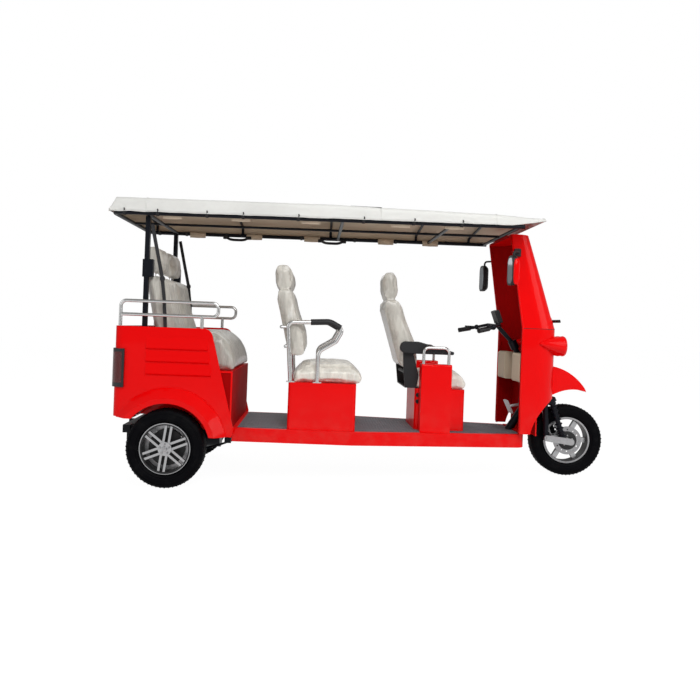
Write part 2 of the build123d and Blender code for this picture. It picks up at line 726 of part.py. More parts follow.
def lower_nose(inset, behind):
    """Solid of the lower fairing."""
    return loft([nose_face(z, *LOW_NOSE, inset, behind) for z in (FAIR_LOW_Z, FAIR_SEAM_Z)], ruled=True)


def upper_nose(inset, behind):
    """Solid of the upper fairing, from the seam to the roof."""
    low = nose_face(FAIR_SEAM_Z, *LOW_NOSE, inset, behind)
    return loft([low, nose_face(FAIR_TOP_Z, *TOP_NOSE, inset, behind)], ruled=True)


def rear_flange(points):
    """Inward flange along the rear edge of a fairing side."""
    strip = [*points, *[(x + FAIR_FLANGE_T, z) for x, z in reversed(points)]]
    return outline(strip)


def lamp_pod(side):
    """Teardrop lamp pod on the corner of the fairing."""
    curve = ThreePointArc((POD_TAIL_X, 0), (POD_TAIL_X + 95, POD_R * 0.72), (POD_FRONT_X - 40, POD_R))
    rim = Polyline((POD_FRONT_X - 40, POD_R), (POD_FRONT_X, POD_R - 5), (POD_FRONT_X, 0), (POD_TAIL_X, 0))
    return Pos(0, side * POD_Y, POD_Z) * revolve(make_face([curve, rim]), Axis.X)


def fairing_lower():
    """Red lower fairing: curved shell over the steering head, lamp pods and wheel opening."""
    inside = lower_nose(FAIR_WALL, 100)
    shell = lower_nose(0, 0) - inside
    edge = [(FAIR_REAR_X, FAIR_LOW_Z), (FAIR_REAR_X, FAIR_SEAM_Z)]
    for side in (-1, 1):
        y = sorted((side * (FAIR_HALF - FAIR_FLANGE), side * (FAIR_HALF - 1)))
        shell += prism(rear_flange(edge), *y)
    for side in (-1, 1):
        shell += lamp_pod(side) - inside
        place = Pos(POD_FRONT_X - LENS_SEAT / 2, side * POD_Y, POD_Z) * Rot(0, 90, 0)
        seat = place * Cylinder(LENS_R, LENS_SEAT)
        shell -= seat
    return shell - ring_y(FRONT_X, FRONT_Z, ARCH_R, -500, 500)


def headlamp_lenses():
    """Domed lenses seated in the pods."""
    radius = LENS_R - 0.2
    ball = (radius ** 2 + LENS_DOME ** 2) / (2 * LENS_DOME)
    plug = Pos((LENS_DOME - LENS_SEAT) / 2, 0, 0) * Rot(0, 90, 0) * Cylinder(radius, LENS_DOME + LENS_SEAT)
    lens = plug & (Pos(LENS_DOME - ball, 0, 0) * Sphere(ball))
    return both_sides(Pos(POD_FRONT_X, POD_Y, POD_Z) * lens)


def glass_window():
    """Block that bounds the windscreen opening."""
    return slab(FAIR_TOP_REAR_X + 60, FAIR_FRONT_X + 60, -GLASS_HALF, GLASS_HALF, GLASS_LOW_Z, GLASS_TOP_Z)


def fairing_upper():
    """Red windscreen surround: two wide pillars, header and cowl strip."""
    inside = upper_nose(FAIR_WALL, 100)
    header = slab(0, 4000, -600, 600, FAIR_TOP_Z - HEADER_T, FAIR_TOP_Z)
    shell = upper_nose(0, 0) - (inside - header)
    edge = [(FAIR_REAR_X, FAIR_SEAM_Z), (FAIR_TOP_REAR_X, FAIR_TOP_Z)]
    for side in (-1, 1):
        y = sorted((side * (FAIR_HALF - FAIR_FLANGE), side * (FAIR_HALF + 20)))
        shell += prism(rear_flange(edge), *y) & upper_nose(0, 0)
    shell -= glass_window()
    bracket = slab(FAIR_TOP_REAR_X + 4, FAIR_TOP_REAR_X + 44, -150, 150, FAIR_TOP_Z,
                   ROOF_Z - ROOF_BAR_R - SOFT_GAP)
    return shell + bracket


def windscreen():
    """Laminated screen set in the surround."""
    sheet = upper_nose(2, 0) - upper_nose(2 + GLASS_T, 100)
    return sheet & glass_window()


LEG_SHIELD_X = FAIR_REAR_X + 113
LEG_SHIELD_T = 8
STORE_X = FAIR_REAR_X - 5
PEDAL_X = LEG_SHIELD_X - 148


def leg_shield():
    """Inner bulkhead in front of the driver's feet, pierced by the neck and head tube."""
    half = FAIR_HALF - FAIR_WALL
    inside = lower_nose(FAIR_WALL, 100)
    panel = slab(LEG_SHIELD_X, LEG_SHIELD_X + LEG_SHIELD_T, -half, half, FLOOR_Z, FAIR_SEAM_Z - 130)
    foot = slab(FLOOR_FRONT_X - SILL_W, LEG_SHIELD_X, -FLOOR_FRONT_HALF + 40, FLOOR_FRONT_HALF - 40,
                FLOOR_Z, FLOOR_Z + LEG_SHIELD_T)
    panel = (panel & (inside + slab(0, 4000, -half, half, 0, FAIR_LOW_Z))) + foot
    panel -= neck(4)
    panel -= rod(on_axis(HEAD_LOW_S - 60), on_axis(HEAD_TOP_S + 200), HEAD_TUBE_R + 4)
    return panel


def storage_boxes():
    """Pale boxes on the fairing's inner walls, either side of the steering head."""
    out = FAIR_HALF - FAIR_WALL
    box = slab(STORE_X, LEG_SHIELD_X - 30, 92, out, 738, 936)
    edges = box.edges().filter_by(Axis.Y)
    box = fillet(edges, 16)
    box -= slab(STORE_X + 12, LEG_SHIELD_X - 40, 104, out - 12, 752, 950)
    box -= slab(STORE_X - 130, FAIR_REAR_X + FAIR_FLANGE_T + 1, FAIR_HALF - FAIR_FLANGE - 1, 400, 700, 960)
    return both_sides(box)


def front_fender():
    """Beak over the front wheel, fixed to the fairing's nose."""
    ring_x, ring_z = FRONT_X, FRONT_Z
    root = FAIR_FRONT_X - 30
    tip = (ring_x + 126, ring_z + 350)
    crest = ThreePointArc((root, 856), (ring_x + 10, 786), tip)
    under = ThreePointArc((root, ring_z + 318), (ring_x - 40, ring_z + 366), tip)
    side_view = make_face([crest, under, Line((root, ring_z + 318), (root, 856))])
    wall = 10
    outer = prism(side_view, -160, 160)
    plan = [(root - 10, -158), (FAIR_FRONT_X + 30, -150), (tip[0] + 4, -66), (tip[0] + 4, 66),
            (FAIR_FRONT_X + 30, 150), (root - 10, 158)]
    bends = [0, 120, 50, 50, 120, 0]
    keep = extrude(make_face(FilletPolyline(*plan, radius=bends, close=True)), 1200)
    keep_in = extrude(offset(make_face(FilletPolyline(*plan, radius=bends, close=True)), -wall), 1200)
    body = (outer & keep) - (Pos(-wall * 0.5, 0, -wall) * outer & keep_in)
    return body - lower_nose(0, 100)


MIRROR_Z = (1392, 1590)
MIRROR_X = FAIR_TOP_REAR_X - 28


def mirrors():
    """Rear-view mirrors on arms from the pillars."""
    z_mid = sum(MIRROR_Z) / 2
    corners = [(-62, MIRROR_Z[0]), (62, MIRROR_Z[0]), (62, MIRROR_Z[1]), (-62, MIRROR_Z[1])]
    plan = outline(corners, [45] * 4)
    head = Pos(MIRROR_X, 372, 0) * extrude(Plane.YZ * plan, 42)
    head = chamfer(head.faces().sort_by(Axis.X)[-1].edges(), 16)
    z = 1622
    foot_x = FAIR_REAR_X + (FAIR_TOP_REAR_X - FAIR_REAR_X) * (z - FAIR_SEAM_Z) / (FAIR_TOP_Z - FAIR_SEAM_Z)
    foot_y = FAIR_HALF + (FAIR_TOP_HALF - FAIR_HALF) * (z - FAIR_SEAM_Z) / (FAIR_TOP_Z - FAIR_SEAM_Z)
    arm = tube([(foot_x + 25, foot_y + SOFT_GAP, z), (foot_x + 25, foot_y + 40, z), (MIRROR_X + 22, 372, z),
                (MIRROR_X + 22, 372, z_mid)], 20, 7)
    clamp = slab(foot_x + 4, foot_x + 46, foot_y + SOFT_GAP + 0.4, foot_y + 18, z - 26, z + 26)
    return both_sides(head + arm + clamp)


def wiper():
    """Wiper: spindle below the screen, arm and blade lying in front of it."""
    z = 1150
    share = (z - FAIR_SEAM_Z) / (FAIR_TOP_Z - FAIR_SEAM_Z)
    x = FAIR_FRONT_X + share * (FAIR_TOP_FRONT_X - FAIR_FRONT_X)
    lean = math.atan2(FAIR_FRONT_X - FAIR_TOP_FRONT_X, FAIR_TOP_Z - FAIR_SEAM_Z)
    skin = Plane(origin=(x, 0, z), x_dir=(0, 1, 0), z_dir=(math.cos(lean), 0, math.sin(lean)))
    spindle = Pos(0, 0, 24) * Cylinder(14, 48)
    arm = Pos(-90, 4, 36) * Box(190, 14, 8)
    blade = Pos(-110, 14, 24) * Box(190, 10, 18)
    return skin * (spindle + arm + blade)


def brake_pedal():
    """Foot pedal on an arm from the leg shield."""
    foot = slab(LEG_SHIELD_X - 10, LEG_SHIELD_X, -170, -110, 560, 620)
    arm = rod((LEG_SHIELD_X - 6, -140, 590), (PEDAL_X + 1, -140, 560), 10)
    plate = Pos(PEDAL_X, -140, 560) * Rot(0, -25, 0) * Box(12, 80, 96)
    return foot + arm + plate


# Steering pieces
CROWN_S = HEAD_LOW_S - 24
CROWN_FRONT = 85
CROWN_REAR = 30
COLLAR_R = 25


def fork_places():
    """Crown, pivot and shock places on one side of the fork."""
    pivot = (FRONT_X - 164, LEG_Y, FRONT_Z + 22)
    shock_low = (FRONT_X - 48, LEG_Y, FRONT_Z + 32)
    shock_top = on_axis(CROWN_S - CROWN_T / 2, 52, LEG_Y)
    return pivot, shock_low, shock_top


def steering_fork():
    """Stem, crown plate and two legs down to the link pivots."""
    pivot = fork_places()[0]
    top = on_axis(HEAD_TOP_S + 90)
    fork = rod(on_axis(CROWN_S), top, STEM_R)
    fork += rod(on_axis(HEAD_LOW_S - SOFT_GAP), on_axis(CROWN_S), COLLAR_R)
    crown = Plane(origin=on_axis(CROWN_S), x_dir=(math.cos(HEAD), 0, math.sin(HEAD)), z_dir=AXIS_UP)
    plate = RectangleRounded(CROWN_FRONT + CROWN_REAR, 2 * LEG_Y + 56, 27)
    shape = Pos((CROWN_FRONT - CROWN_REAR) / 2, 0) * plate
    plate = extrude(shape, CROWN_T)
    fork += crown * Pos(0, 0, -CROWN_T) * plate
    for side in (-1, 1):
        start = on_axis(CROWN_S - CROWN_T / 2, 4, side * LEG_Y)
        fork += rod(start, (pivot[0], side * LEG_Y, pivot[2]), LEG_R)
        fork += ring_y(pivot[0], pivot[2], 24, side * LEG_Y - 20, side * LEG_Y + 20)
    return fork


SPRING_TURNS = 7
SHOCK_R = 26


def front_shocks():
    """Coil-over shocks between the links and the crown."""
    low, top = [Vector(*p) for p in fork_places()[1:]]
    run = top - low
    length = run.length - CROWN_T / 2 / math.cos(math.radians(12)) - 6
    core = Cylinder(SHOCK_R - 9, length)
    pitch = (length - 30) / SPRING_TURNS
    for turn_no in range(SPRING_TURNS):
        core += Pos(0, 0, -length / 2 + 15 + (turn_no + 0.5) * pitch) * Torus(SHOCK_R - 5.5, 5.5)
    for end in (-1, 1):
        core += Pos(0, 0, end * (length / 2 - 5)) * Cylinder(SHOCK_R, 10)
    placed = Plane(origin=low, z_dir=run) * Pos(0, 0, length / 2) * core
    return both_sides(placed)


def front_links():
    """Leading links with the axle through the wheel."""
    pivot, shock_low, _ = fork_places()
    links = ring_y(FRONT_X, FRONT_Z, AXLE_R, -LEG_Y - 34, LEG_Y + 34)
    for side in (-1, 1):
        inner = side * (LEG_Y + 22)
        y = sorted((inner, inner + side * 14))
        corners = [(pivot[0] - 22, pivot[2] - 20), (FRONT_X + 24, FRONT_Z - 26), (FRONT_X + 24, FRONT_Z + 20),
                   (shock_low[0] + 30, shock_low[2] - 6), (pivot[0] - 22, pivot[2] + 22)]
        bar = prism(outline(corners, [18, 20, 20, 10, 18]), *y)
        links += bar
        links += slab(shock_low[0] - 22, shock_low[0] + 22,
                      *sorted((side * (LEG_Y - 18), y[0 if side > 0 else 1] + side)),
                      FRONT_Z + 14, FRONT_Z + 24)
        links += ring_y(pivot[0], pivot[2], 11,
                        *sorted((side * (LEG_Y + 20 + SOFT_GAP), inner + side * 22)))
    return links


# Handlebar: path points for the left half in body x, y, z
BAR_X = WHEELBASE - 522
BAR_HALF = [(BAR_X, 70, 1126), (BAR_X - 28, 150, 1130), (BAR_X - 108, 254, 1104), (BAR_X - 206, 306, 1082)]


def handlebar():
    """Swept-back bar on a riser clamped to the stem, with a lever each side."""
    left = BAR_HALF
    points = [(x, -y, z) for x, y, z in reversed(left)] + left
    bar = tube(points, 30, BAR_R)
    clamp_low = on_axis(HEAD_TOP_S + 30)
    clamp_top = on_axis(HEAD_TOP_S + 92)
    bar += rod(clamp_low, clamp_top, 30) - rod(on_axis(HEAD_TOP_S), on_axis(HEAD_TOP_S + 90), STEM_R)
    bar += rod(on_axis(HEAD_TOP_S + 70, 0), (BAR_X, 0, 1126), 15)
    for side in (-1, 1):
        bar += Pos(BAR_X - 90, side * 231, 1110) * Sphere(19)
        bar += rod((BAR_X - 90, side * 231, 1112), (BAR_X - 156, side * 318, 1114), 6)
    return bar


def handlebar_grips():
    """Rubber grips on the bar ends."""
    outer, end = Vector(*BAR_HALF[2]), Vector(*BAR_HALF[3])
    run = (end - outer).normalized()
    start = outer + run * 26
    finish = end + run * 4
    grip = rod(tuple(start), tuple(finish), GRIP_R) - rod(tuple(start - run * 2), tuple(end), BAR_R + 0.05)
    return both_sides(grip)


def handlebar_display():
    """Display block over the middle of the bar."""
    block = Pos(BAR_X - 4, 0, 1188) * Rot(0, -20, 0) * fillet(Box(34, 120, 96).edges(), 8)
    return block + rod((BAR_X, 0, 1130), (BAR_X - 4, 0, 1160), 10)


# Wheels, drawn about Y at the origin
def tyre(width):
    """Road tyre as one revolved casing."""
    half = width / 2
    bead = RIM_R
    shoulder = TYRE_R - 16
    section = [(bead, -half + 20), (shoulder - 40, -half), (shoulder, -half + 6), (TYRE_R, -half + 24)]
    points = section + [(r, -y) for r, y in reversed(section)]
    face = Plane.XY * make_face(Polyline(*points, close=True))
    return revolve(face, Axis.Y)


def wheel_barrel(width):
    """Rim barrel with outer lips, under the tyre's beads."""
    half = width / 2
    points = [(RIM_R, -half + 20), (RIM_R, half - 20), (RIM_R - 2, half - 12), (RIM_R - 14, half - 14),
              (RIM_R - 16, -half + 14), (RIM_R - 2, -half + 12)]
    return revolve(make_face(Polyline(*points, close=True)), Axis.Y)


def rear_rim():
    """Cast rim with six twin-bar spokes, hub and brake drum; the outer face towards negative Y."""
    half = TYRE_W / 2
    rim = wheel_barrel(TYRE_W)
    face_y = -half + 22
    rim += ring_y(0, 0, HUB_R, face_y - 10, half - 22)
    rim += ring_y(0, 0, DRUM_R, 4, half - 20)
    reach = RIM_R - 8
    for spoke in range(SPOKES):
        turn_by = Rot(0, spoke * 360 / SPOKES + 8, 0)
        for bar in (-1, 1):
            off = bar * (SPOKE_GAP + SPOKE_W) / 2
            rim += turn_by * slab(off - SPOKE_W / 2, off + SPOKE_W / 2, face_y, face_y + 16, 20, reach)
    return rim - ring_y(0, 0, AXLE_R + RUNNING_GAP, -200, 200)


def front_rim():
    """Front rim with six wide spokes and its hub."""
    half = FRONT_TYRE_W / 2
    rim = wheel_barrel(FRONT_TYRE_W)
    rim += ring_y(0, 0, HUB_R, -half + 6, half - 6)
    for spoke in range(SPOKES):
        turn_by = Rot(0, spoke * 360 / SPOKES + 30, 0)
        rim += turn_by * slab(-FRONT_SPOKE_W / 2, FRONT_SPOKE_W / 2, -12, 12, 20, RIM_R - 8)
    return rim - ring_y(0, 0, AXLE_R + RUNNING_GAP, -200, 200)


def front_brake_disc():
    """Brake disc on the right of the front hub."""
    face = -FRONT_TYRE_W / 2
    disc = ring_y(0, 0, DISC_R, face - 2, face + 4) - ring_y(0, 0, HUB_R - 14, face - 10, face + 10)
    for hole in range(12):
        a = math.radians(hole * 30)
        disc -= ring_y(78 * math.cos(a), 78 * math.sin(a), 6, face - 10, face + 10)
    carrier = ring_y(0, 0, HUB_R - 2, face + 3, face + 6) - ring_y(0, 0, AXLE_R + 4, face - 10, face + 10)
    return disc + carrier


BODY_PIECES = {
    "chassis_frame": chassis_frame,
    "floor_sill": floor_sill,
    "floor_deck": floor_deck,
    "rear_panel": rear_panel,
    "tail_lamps": tail_lamps,
    "rear_seat_base": rear_seat_base,
    "battery_pack": battery_pack,
    "rear_seat_cushion": rear_seat_cushion,
    "rear_seat_backs": rear_seat_backs,
    "seat_belts": seat_belts,
    "luggage_rails": luggage_rails,
    "roof_posts": roof_posts,
    "roof_frame": roof_frame,
    "canopy": canopy,
    "middle_seat_box": middle_seat_box,
    "middle_seat_cushion": middle_seat_cushion,
    "middle_seat_backs": middle_seat_backs,
    "middle_armrests": middle_armrests,
    "middle_armrest_grips": middle_armrest_grips,
    "driver_seat_box": driver_seat_box,
    "driver_side_boxes": driver_side_boxes,
    "driver_grab_hoops": driver_grab_hoops,
    "driver_seat_cushion": driver_seat_cushion,
    "driver_seat_back": driver_seat_back,
    "driver_seat_frame": driver_seat_frame,
    "fairing_lower": fairing_lower,
    "fairing_upper": fairing_upper,
    "windscreen": windscreen,
    "leg_shield": leg_shield,
    "storage_boxes": storage_boxes,
    "front_fender": front_fender,
    "headlamp_lenses": headlamp_lenses,
    "mirrors": mirrors,
    "wiper": wiper,
    "brake_pedal": brake_pedal,
    "rear_axle": rear_axle,
    "leaf_springs": leaf_springs,
    "steering_fork": steering_fork,
    "front_shocks": front_shocks,
    "front_links": front_links,
    "handlebar": handlebar,
    "handlebar_grips": handlebar_grips,
    "handlebar_display": handlebar_display,
}


def build_all():
    """Every piece at its place in the body frame."""
    pieces = {name: make() for name, make in BODY_PIECES.items()}
    left = rear_side()
    pieces["rear_side_left"] = left
    pieces["rear_side_right"] = mirror(left, about=Plane.XZ)
    wheel_y = WHEEL_FACE_Y - TYRE_W / 2
    rear_right = Pos(REAR_X, -wheel_y, REAR_Z)
    for name, shape in (("rear_tyre", tyre(TYRE_W)), ("rear_rim", rear_rim())):
        pieces[name + "_right"] = rear_right * shape
        pieces[name + "_left"] = mirror(pieces[name + "_right"], about=Plane.XZ)
    front = Pos(FRONT_X, 0, FRONT_Z)
    pieces["front_tyre"] = front * tyre(FRONT_TYRE_W)
    pieces["front_rim"] = front * front_rim()
    pieces["front_brake_disc"] = front * front_brake_disc()
    for name, seat in SEATED:
        pieces[name] = as_one([solid - pieces[seat] for solid in pieces[name].solids()])
    return pieces


# Pieces trimmed to seat on another: piece, the one it seats on
SEATED = (
    ("front_links", "steering_fork"),
    ("front_shocks", "steering_fork"),
    ("front_shocks", "front_links"),
    ("handlebar", "steering_fork"),
    ("handlebar_grips", "handlebar"),
    ("handlebar_display", "handlebar"),
    ("leaf_springs", "rear_axle"),
    ("middle_armrests", "middle_seat_box"),
    ("middle_armrest_grips", "middle_armrests"),
)

STANCE = Rot(0, RAKE, 0)
REACH_FRONT = WHEELBASE + TYRE_R
REACH_REAR = (STANCE * Pos(CANOPY[0][0], 0, CANOPY[0][2])).position.X
CENTRE = Pos(-(REACH_FRONT + REACH_REAR) / 2, 0, 0)


def main():
    """Write one file for each piece."""
    os.makedirs("parts", exist_ok=True)
    for name, shape in build_all().items():
        export_step(CENTRE * STANCE * shape, f"parts/{name}.step")


if __name__ == "__main__":
    main()
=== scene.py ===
"""Looks of a long open-sided electric passenger tricycle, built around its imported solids."""

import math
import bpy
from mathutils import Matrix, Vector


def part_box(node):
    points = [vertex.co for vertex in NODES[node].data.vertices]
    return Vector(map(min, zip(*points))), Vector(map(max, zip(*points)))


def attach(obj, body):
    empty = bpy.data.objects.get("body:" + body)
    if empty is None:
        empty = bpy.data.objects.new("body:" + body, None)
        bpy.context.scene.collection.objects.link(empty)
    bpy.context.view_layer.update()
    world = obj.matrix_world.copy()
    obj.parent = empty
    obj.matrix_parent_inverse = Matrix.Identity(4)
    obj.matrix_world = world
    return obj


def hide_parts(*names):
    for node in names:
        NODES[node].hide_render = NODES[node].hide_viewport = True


bl_info = {
    "name": "Passenger Tricycle Looks",
    "version": (1, 0, 0),
    "blender": (4, 5, 0),
    "location": "View3D > Sidebar > Tricycle",
    "description": "Seats, canopy, tyres, trim and finishes for a three-wheeled passenger carrier",
    "category": "Object",
}

import bmesh
import bpy
import numpy as np
from mathutils import Euler, Matrix, Vector, noise

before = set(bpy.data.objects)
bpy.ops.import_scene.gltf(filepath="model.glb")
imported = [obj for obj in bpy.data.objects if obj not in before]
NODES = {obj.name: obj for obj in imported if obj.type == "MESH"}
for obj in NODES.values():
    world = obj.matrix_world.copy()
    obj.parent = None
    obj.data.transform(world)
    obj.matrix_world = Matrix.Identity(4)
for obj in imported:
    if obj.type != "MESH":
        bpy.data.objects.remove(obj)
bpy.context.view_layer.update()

# Body frame of the drawing: millimetres from the rear axle, nose down by the rake
RAKE = math.radians(1.4)
CENTRE_X = 1309.529

# Canopy stations: x, half width, hem, edge and crown heights
CANOPY = (
    (-440, 496, 1757, 1786, 1796),
    (-394, 500, 1757, 1866, 1902),
    (1000, 500, 1757, 1866, 1910),
    (2067, 500, 1757, 1842, 1880),
    (2398, 488, 1808, 1824, 1858),
)
BOW_X = (-360, 320, 1020, 1700, 2120)
TIE_X = (-341, -125, 195, 430, 789, 1213, 1540, 1853)
TAB_X = (-34, 415, 873, 1459, 1812)
HANDLE_X = (279, 1033)
SEAM_X = (-430, -195, 1328, 2076, 2390)
# Span along x of the painted shadow where the roof cloth overlaps
FOLD_SHADOW_X = (1128, 1328)
ROOF_Z = 1768
ROOF_HALF = 474
ROOF_TUBE_R = 14

TYRE_R = 0.254


def at(x, y, z):
    """Row-frame point in metres of a drawing point in millimetres."""
    ahead = x * math.cos(RAKE) + z * math.sin(RAKE) - CENTRE_X
    up = z * math.cos(RAKE) - x * math.sin(RAKE)
    return Vector((ahead, y, up)) / 1000


def settings():
    """The scene's sizes and colours."""
    return bpy.context.scene.tricycle_looks


class TricycleLooks(bpy.types.PropertyGroup):
    """Sizes and colours that a user would change."""

    red: bpy.props.FloatVectorProperty(
        name="Body red", description="Paint of the panels", subtype="COLOR", size=4,
        default=(0.84, 0.001, 0.0016, 1),
    )
    canvas: bpy.props.FloatVectorProperty(
        name="Canopy", description="Coated roof cloth", subtype="COLOR", size=4,
        default=(0.76, 0.76, 0.73, 1),
    )
    lining: bpy.props.FloatVectorProperty(
        name="Lining", description="Cloth under the roof", subtype="COLOR", size=4,
        default=(0.70, 0.57, 0.43, 1),
    )
    vinyl: bpy.props.FloatVectorProperty(
        name="Seat vinyl", description="Cream seat covers", subtype="COLOR", size=4,
        default=(0.71, 0.68, 0.61, 1),
    )
    voxel: bpy.props.FloatProperty(
        name="Cushion grain", description="Mesh size of the padded pieces", unit="LENGTH", default=0.006
    )
    swell: bpy.props.FloatProperty(
        name="Cushion swell", description="Pressure inside the padded pieces", default=4.0
    )
    swell_cap: bpy.props.FloatProperty(
        name="Swell limit", description="How far a cover may lift", unit="LENGTH", default=0.012
    )
    sag: bpy.props.FloatProperty(
        name="Canopy sag", description="Drop of the cloth between bows", unit="LENGTH", default=0.008
    )
    tread_blocks: bpy.props.IntProperty(
        name="Tread blocks", description="Blocks round one tyre", default=58
    )
    mat_ribs: bpy.props.IntProperty(
        name="Mat ribs", description="Ribs across the floor mat", default=92
    )


# Shader maths
class Val:
    """A shader value that sums and products can be written with."""

    def __init__(self, tree, socket):
        self.tree, self.socket = tree, socket

    def maths(self, operation, first, second):
        made = self.tree.nodes.new("ShaderNodeMath")
        made.operation = operation
        for socket, value in zip(made.inputs, (first, second)):
            if isinstance(value, Val):
                self.tree.links.new(value.socket, socket)
            else:
                socket.default_value = value
        return Val(self.tree, made.outputs[0])

    def __add__(self, other):
        return self.maths("ADD", self, other)

    __radd__ = __add__

    def __sub__(self, other):
        return self.maths("SUBTRACT", self, other)

    def __rsub__(self, other):
        return self.maths("SUBTRACT", other, self)

    def __mul__(self, other):
        return self.maths("MULTIPLY", self, other)

    __rmul__ = __mul__

    def __abs__(self):
        return self.maths("ABSOLUTE", self, 0)


MATERIALS = {}


class Finish:
    """One material under construction."""

    def __init__(self, name):
        self.mat = MATERIALS[name] = bpy.data.materials.new(name)
        self.mat.use_nodes = True
        self.tree = self.mat.node_tree
        self.shader = self.tree.nodes["Principled BSDF"]
        self.place = self.tree.nodes.new("ShaderNodeTexCoord").outputs["Object"]

    def node(self, kind, options=None, **values):
        """Adds a node: its options first, then values or links for its inputs."""
        made = self.tree.nodes.new(kind)
        for key, value in (options or {}).items():
            setattr(made, key, value)
        for key, value in values.items():
            name = key.replace("_", " ").title()
            self.feed(made.inputs[name], value)
        return made

    def feed(self, socket, value):
        if isinstance(value, Val):
            self.tree.links.new(value.socket, socket)
        elif isinstance(value, bpy.types.NodeSocket):
            self.tree.links.new(value, socket)
        else:
            socket.default_value = value

    def val(self, socket):
        return Val(self.tree, socket)

    def axes(self):
        """The surface point's x, y and z."""
        parts = self.node("ShaderNodeSeparateXYZ", Vector=self.place)
        return [self.val(s) for s in parts.outputs]

    def reach(self, centre):
        """Distance of the surface point from an axle along Y."""
        x, _, z = self.axes()
        across, up = x - centre.x, z - centre.z
        square = across * across + up * up
        return square.maths("POWER", square, 0.5)

    def scaled(self, scale):
        """Object coordinates stretched by a scale for each axis."""
        return self.node("ShaderNodeMapping", Vector=self.place, Scale=scale).outputs[0]

    def grain(self, scale, detail=3.0, stretch=(1, 1, 1)):
        """Fractal noise over the surface."""
        made = self.node("ShaderNodeTexNoise", Vector=self.scaled(stretch), Scale=scale, Detail=detail)
        return self.val(made.outputs[0])

    def bands(self, scale, direction):
        """Regular soft bands along one axis."""
        options = {"bands_direction": direction}
        made = self.node("ShaderNodeTexWave", options, Vector=self.place, Scale=scale)
        return self.val(made.outputs[1])

    def ease(self, value, low, high):
        """Smooth step of a value between two limits."""
        options = {"interpolation_type": "SMOOTHSTEP"}
        made = self.node("ShaderNodeMapRange", options, Value=value, From_Min=low, From_Max=high)
        return self.val(made.outputs[0])

    def mix(self, mask, first, second):
        """Colour between two by a mask."""
        made = self.tree.nodes.new("ShaderNodeMix")
        made.data_type = "RGBA"
        for socket, value in zip((made.inputs[0], made.inputs[6], made.inputs[7]), (mask, first, second)):
            self.feed(socket, value)
        return made.outputs[2]

    def relief(self, *layers):
        """Bumps, each a height and a depth in metres."""
        normal = None
        for height, depth in layers:
            made = self.node("ShaderNodeBump", Height=height, Distance=depth)
            made.inputs["Strength"].default_value = 1.0
            if normal is not None:
                self.feed(made.inputs["Normal"], normal)
            normal = made.outputs[0]
        self.feed(self.shader.inputs["Normal"], normal)

    def set(self, **values):
        for key, value in values.items():
            self.feed(self.shader.inputs[key.replace("_", " ").title().replace("Ior", "IOR")], value)
        return self.mat


def tint(colour, factor):
    """A colour made lighter or darker."""
    return (*[min(1.0, c * factor) for c in colour[:3]], 1)


def middle(node):
    """Middle of a solid."""
    low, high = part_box(node)
    return (low + high) / 2


ROAD_DUST = (0.42, 0.30, 0.24, 1)
DUST_TOP = 0.62
DUST_FULL = 0.28


def red_enamel():
    """Glossy body paint, with a little road dust low down."""
    f = Finish("red_enamel")
    red = tuple(settings().red)
    low_down = f.ease(f.axes()[2], DUST_TOP, DUST_FULL)
    cloud = f.grain(3.0, 4.0)
    dust = low_down * f.ease(f.grain(14.0, 5.0), 0.35, 0.75)
    base = f.mix(cloud, tint(red, 0.93), tint(red, 1.05))
    base = f.mix(dust * 0.05, base, ROAD_DUST)
    f.relief((f.grain(420.0, 1.0), 0.00006), (f.grain(7.0, 2.0), 0.0006))
    rough = 0.28 + dust * 0.12 + f.grain(60.0) * 0.06
    f.set(base_color=base, roughness=rough, specular_ior_level=0.03)
    return f.set(coat_weight=0.22, coat_roughness=0.03)


# Painted shade: the body red darkened to 0.36 to 0.52 of itself, for faces that lie in shade inside the
# fairing and leg shield, on the bench front and on the bench ends.
def red_painted_shade():
    f = Finish("red_painted_shade")
    red = tuple(settings().red)
    cloud = f.grain(5.0, 5.0)
    f.relief((f.grain(160.0, 3.0), 0.0004))
    base = f.mix(cloud, tint(red, 0.36), tint(red, 0.52))
    return f.set(base_color=base, roughness=0.65 + cloud * 0.15, specular_ior_level=0.06)


def black_enamel():
    f = Finish("black_enamel")
    wear = f.ease(f.grain(45.0, 5.0), 0.62, 0.78)
    base = f.mix(wear, (0.004, 0.005, 0.009, 1), (0.016, 0.017, 0.022, 1))
    f.relief((f.grain(300.0, 2.0), 0.0001))
    return f.set(base_color=base, roughness=0.34 + wear * 0.25, specular_ior_level=0.18)


def stainless():
    f = Finish("stainless")
    brush = f.grain(220.0, 3.0, (0.08, 1, 1))
    base = f.mix(brush, (0.62, 0.62, 0.62, 1), (0.80, 0.80, 0.79, 1))
    return f.set(base_color=base, metallic=1.0, roughness=0.16 + brush * 0.12)


LIP_R = 0.160
LIP_WIDTH = 0.012
REAR_FACE_Y = 0.547
FRONT_FACE_Y = 0.0115
PAINT_EDGE = 0.001
CARRIER_R = 0.066


def machined_alloy(name, centre, face_y, dark):
    """Cast wheel: machined outer faces and dark paint in the hollows and under the lip."""
    f = Finish(name)
    reach = f.reach(centre)
    groove = LIP_R - LIP_WIDTH
    under_lip = f.ease(reach, groove, groove + PAINT_EDGE) * f.ease(reach, LIP_R, LIP_R - PAINT_EDGE)
    cut = f.ease(abs(f.axes()[1]), face_y - PAINT_EDGE, face_y) * (1.0 - under_lip)
    lathe = f.grain(500.0, 2.0, (1, 0.05, 1))
    bright = f.mix(lathe, (0.40, 0.41, 0.42, 1), (0.60, 0.60, 0.61, 1))
    base = f.mix(cut, dark, bright)
    return f.set(base_color=base, metallic=cut * 0.9, roughness=0.42 - cut * 0.16 + lathe * 0.08)


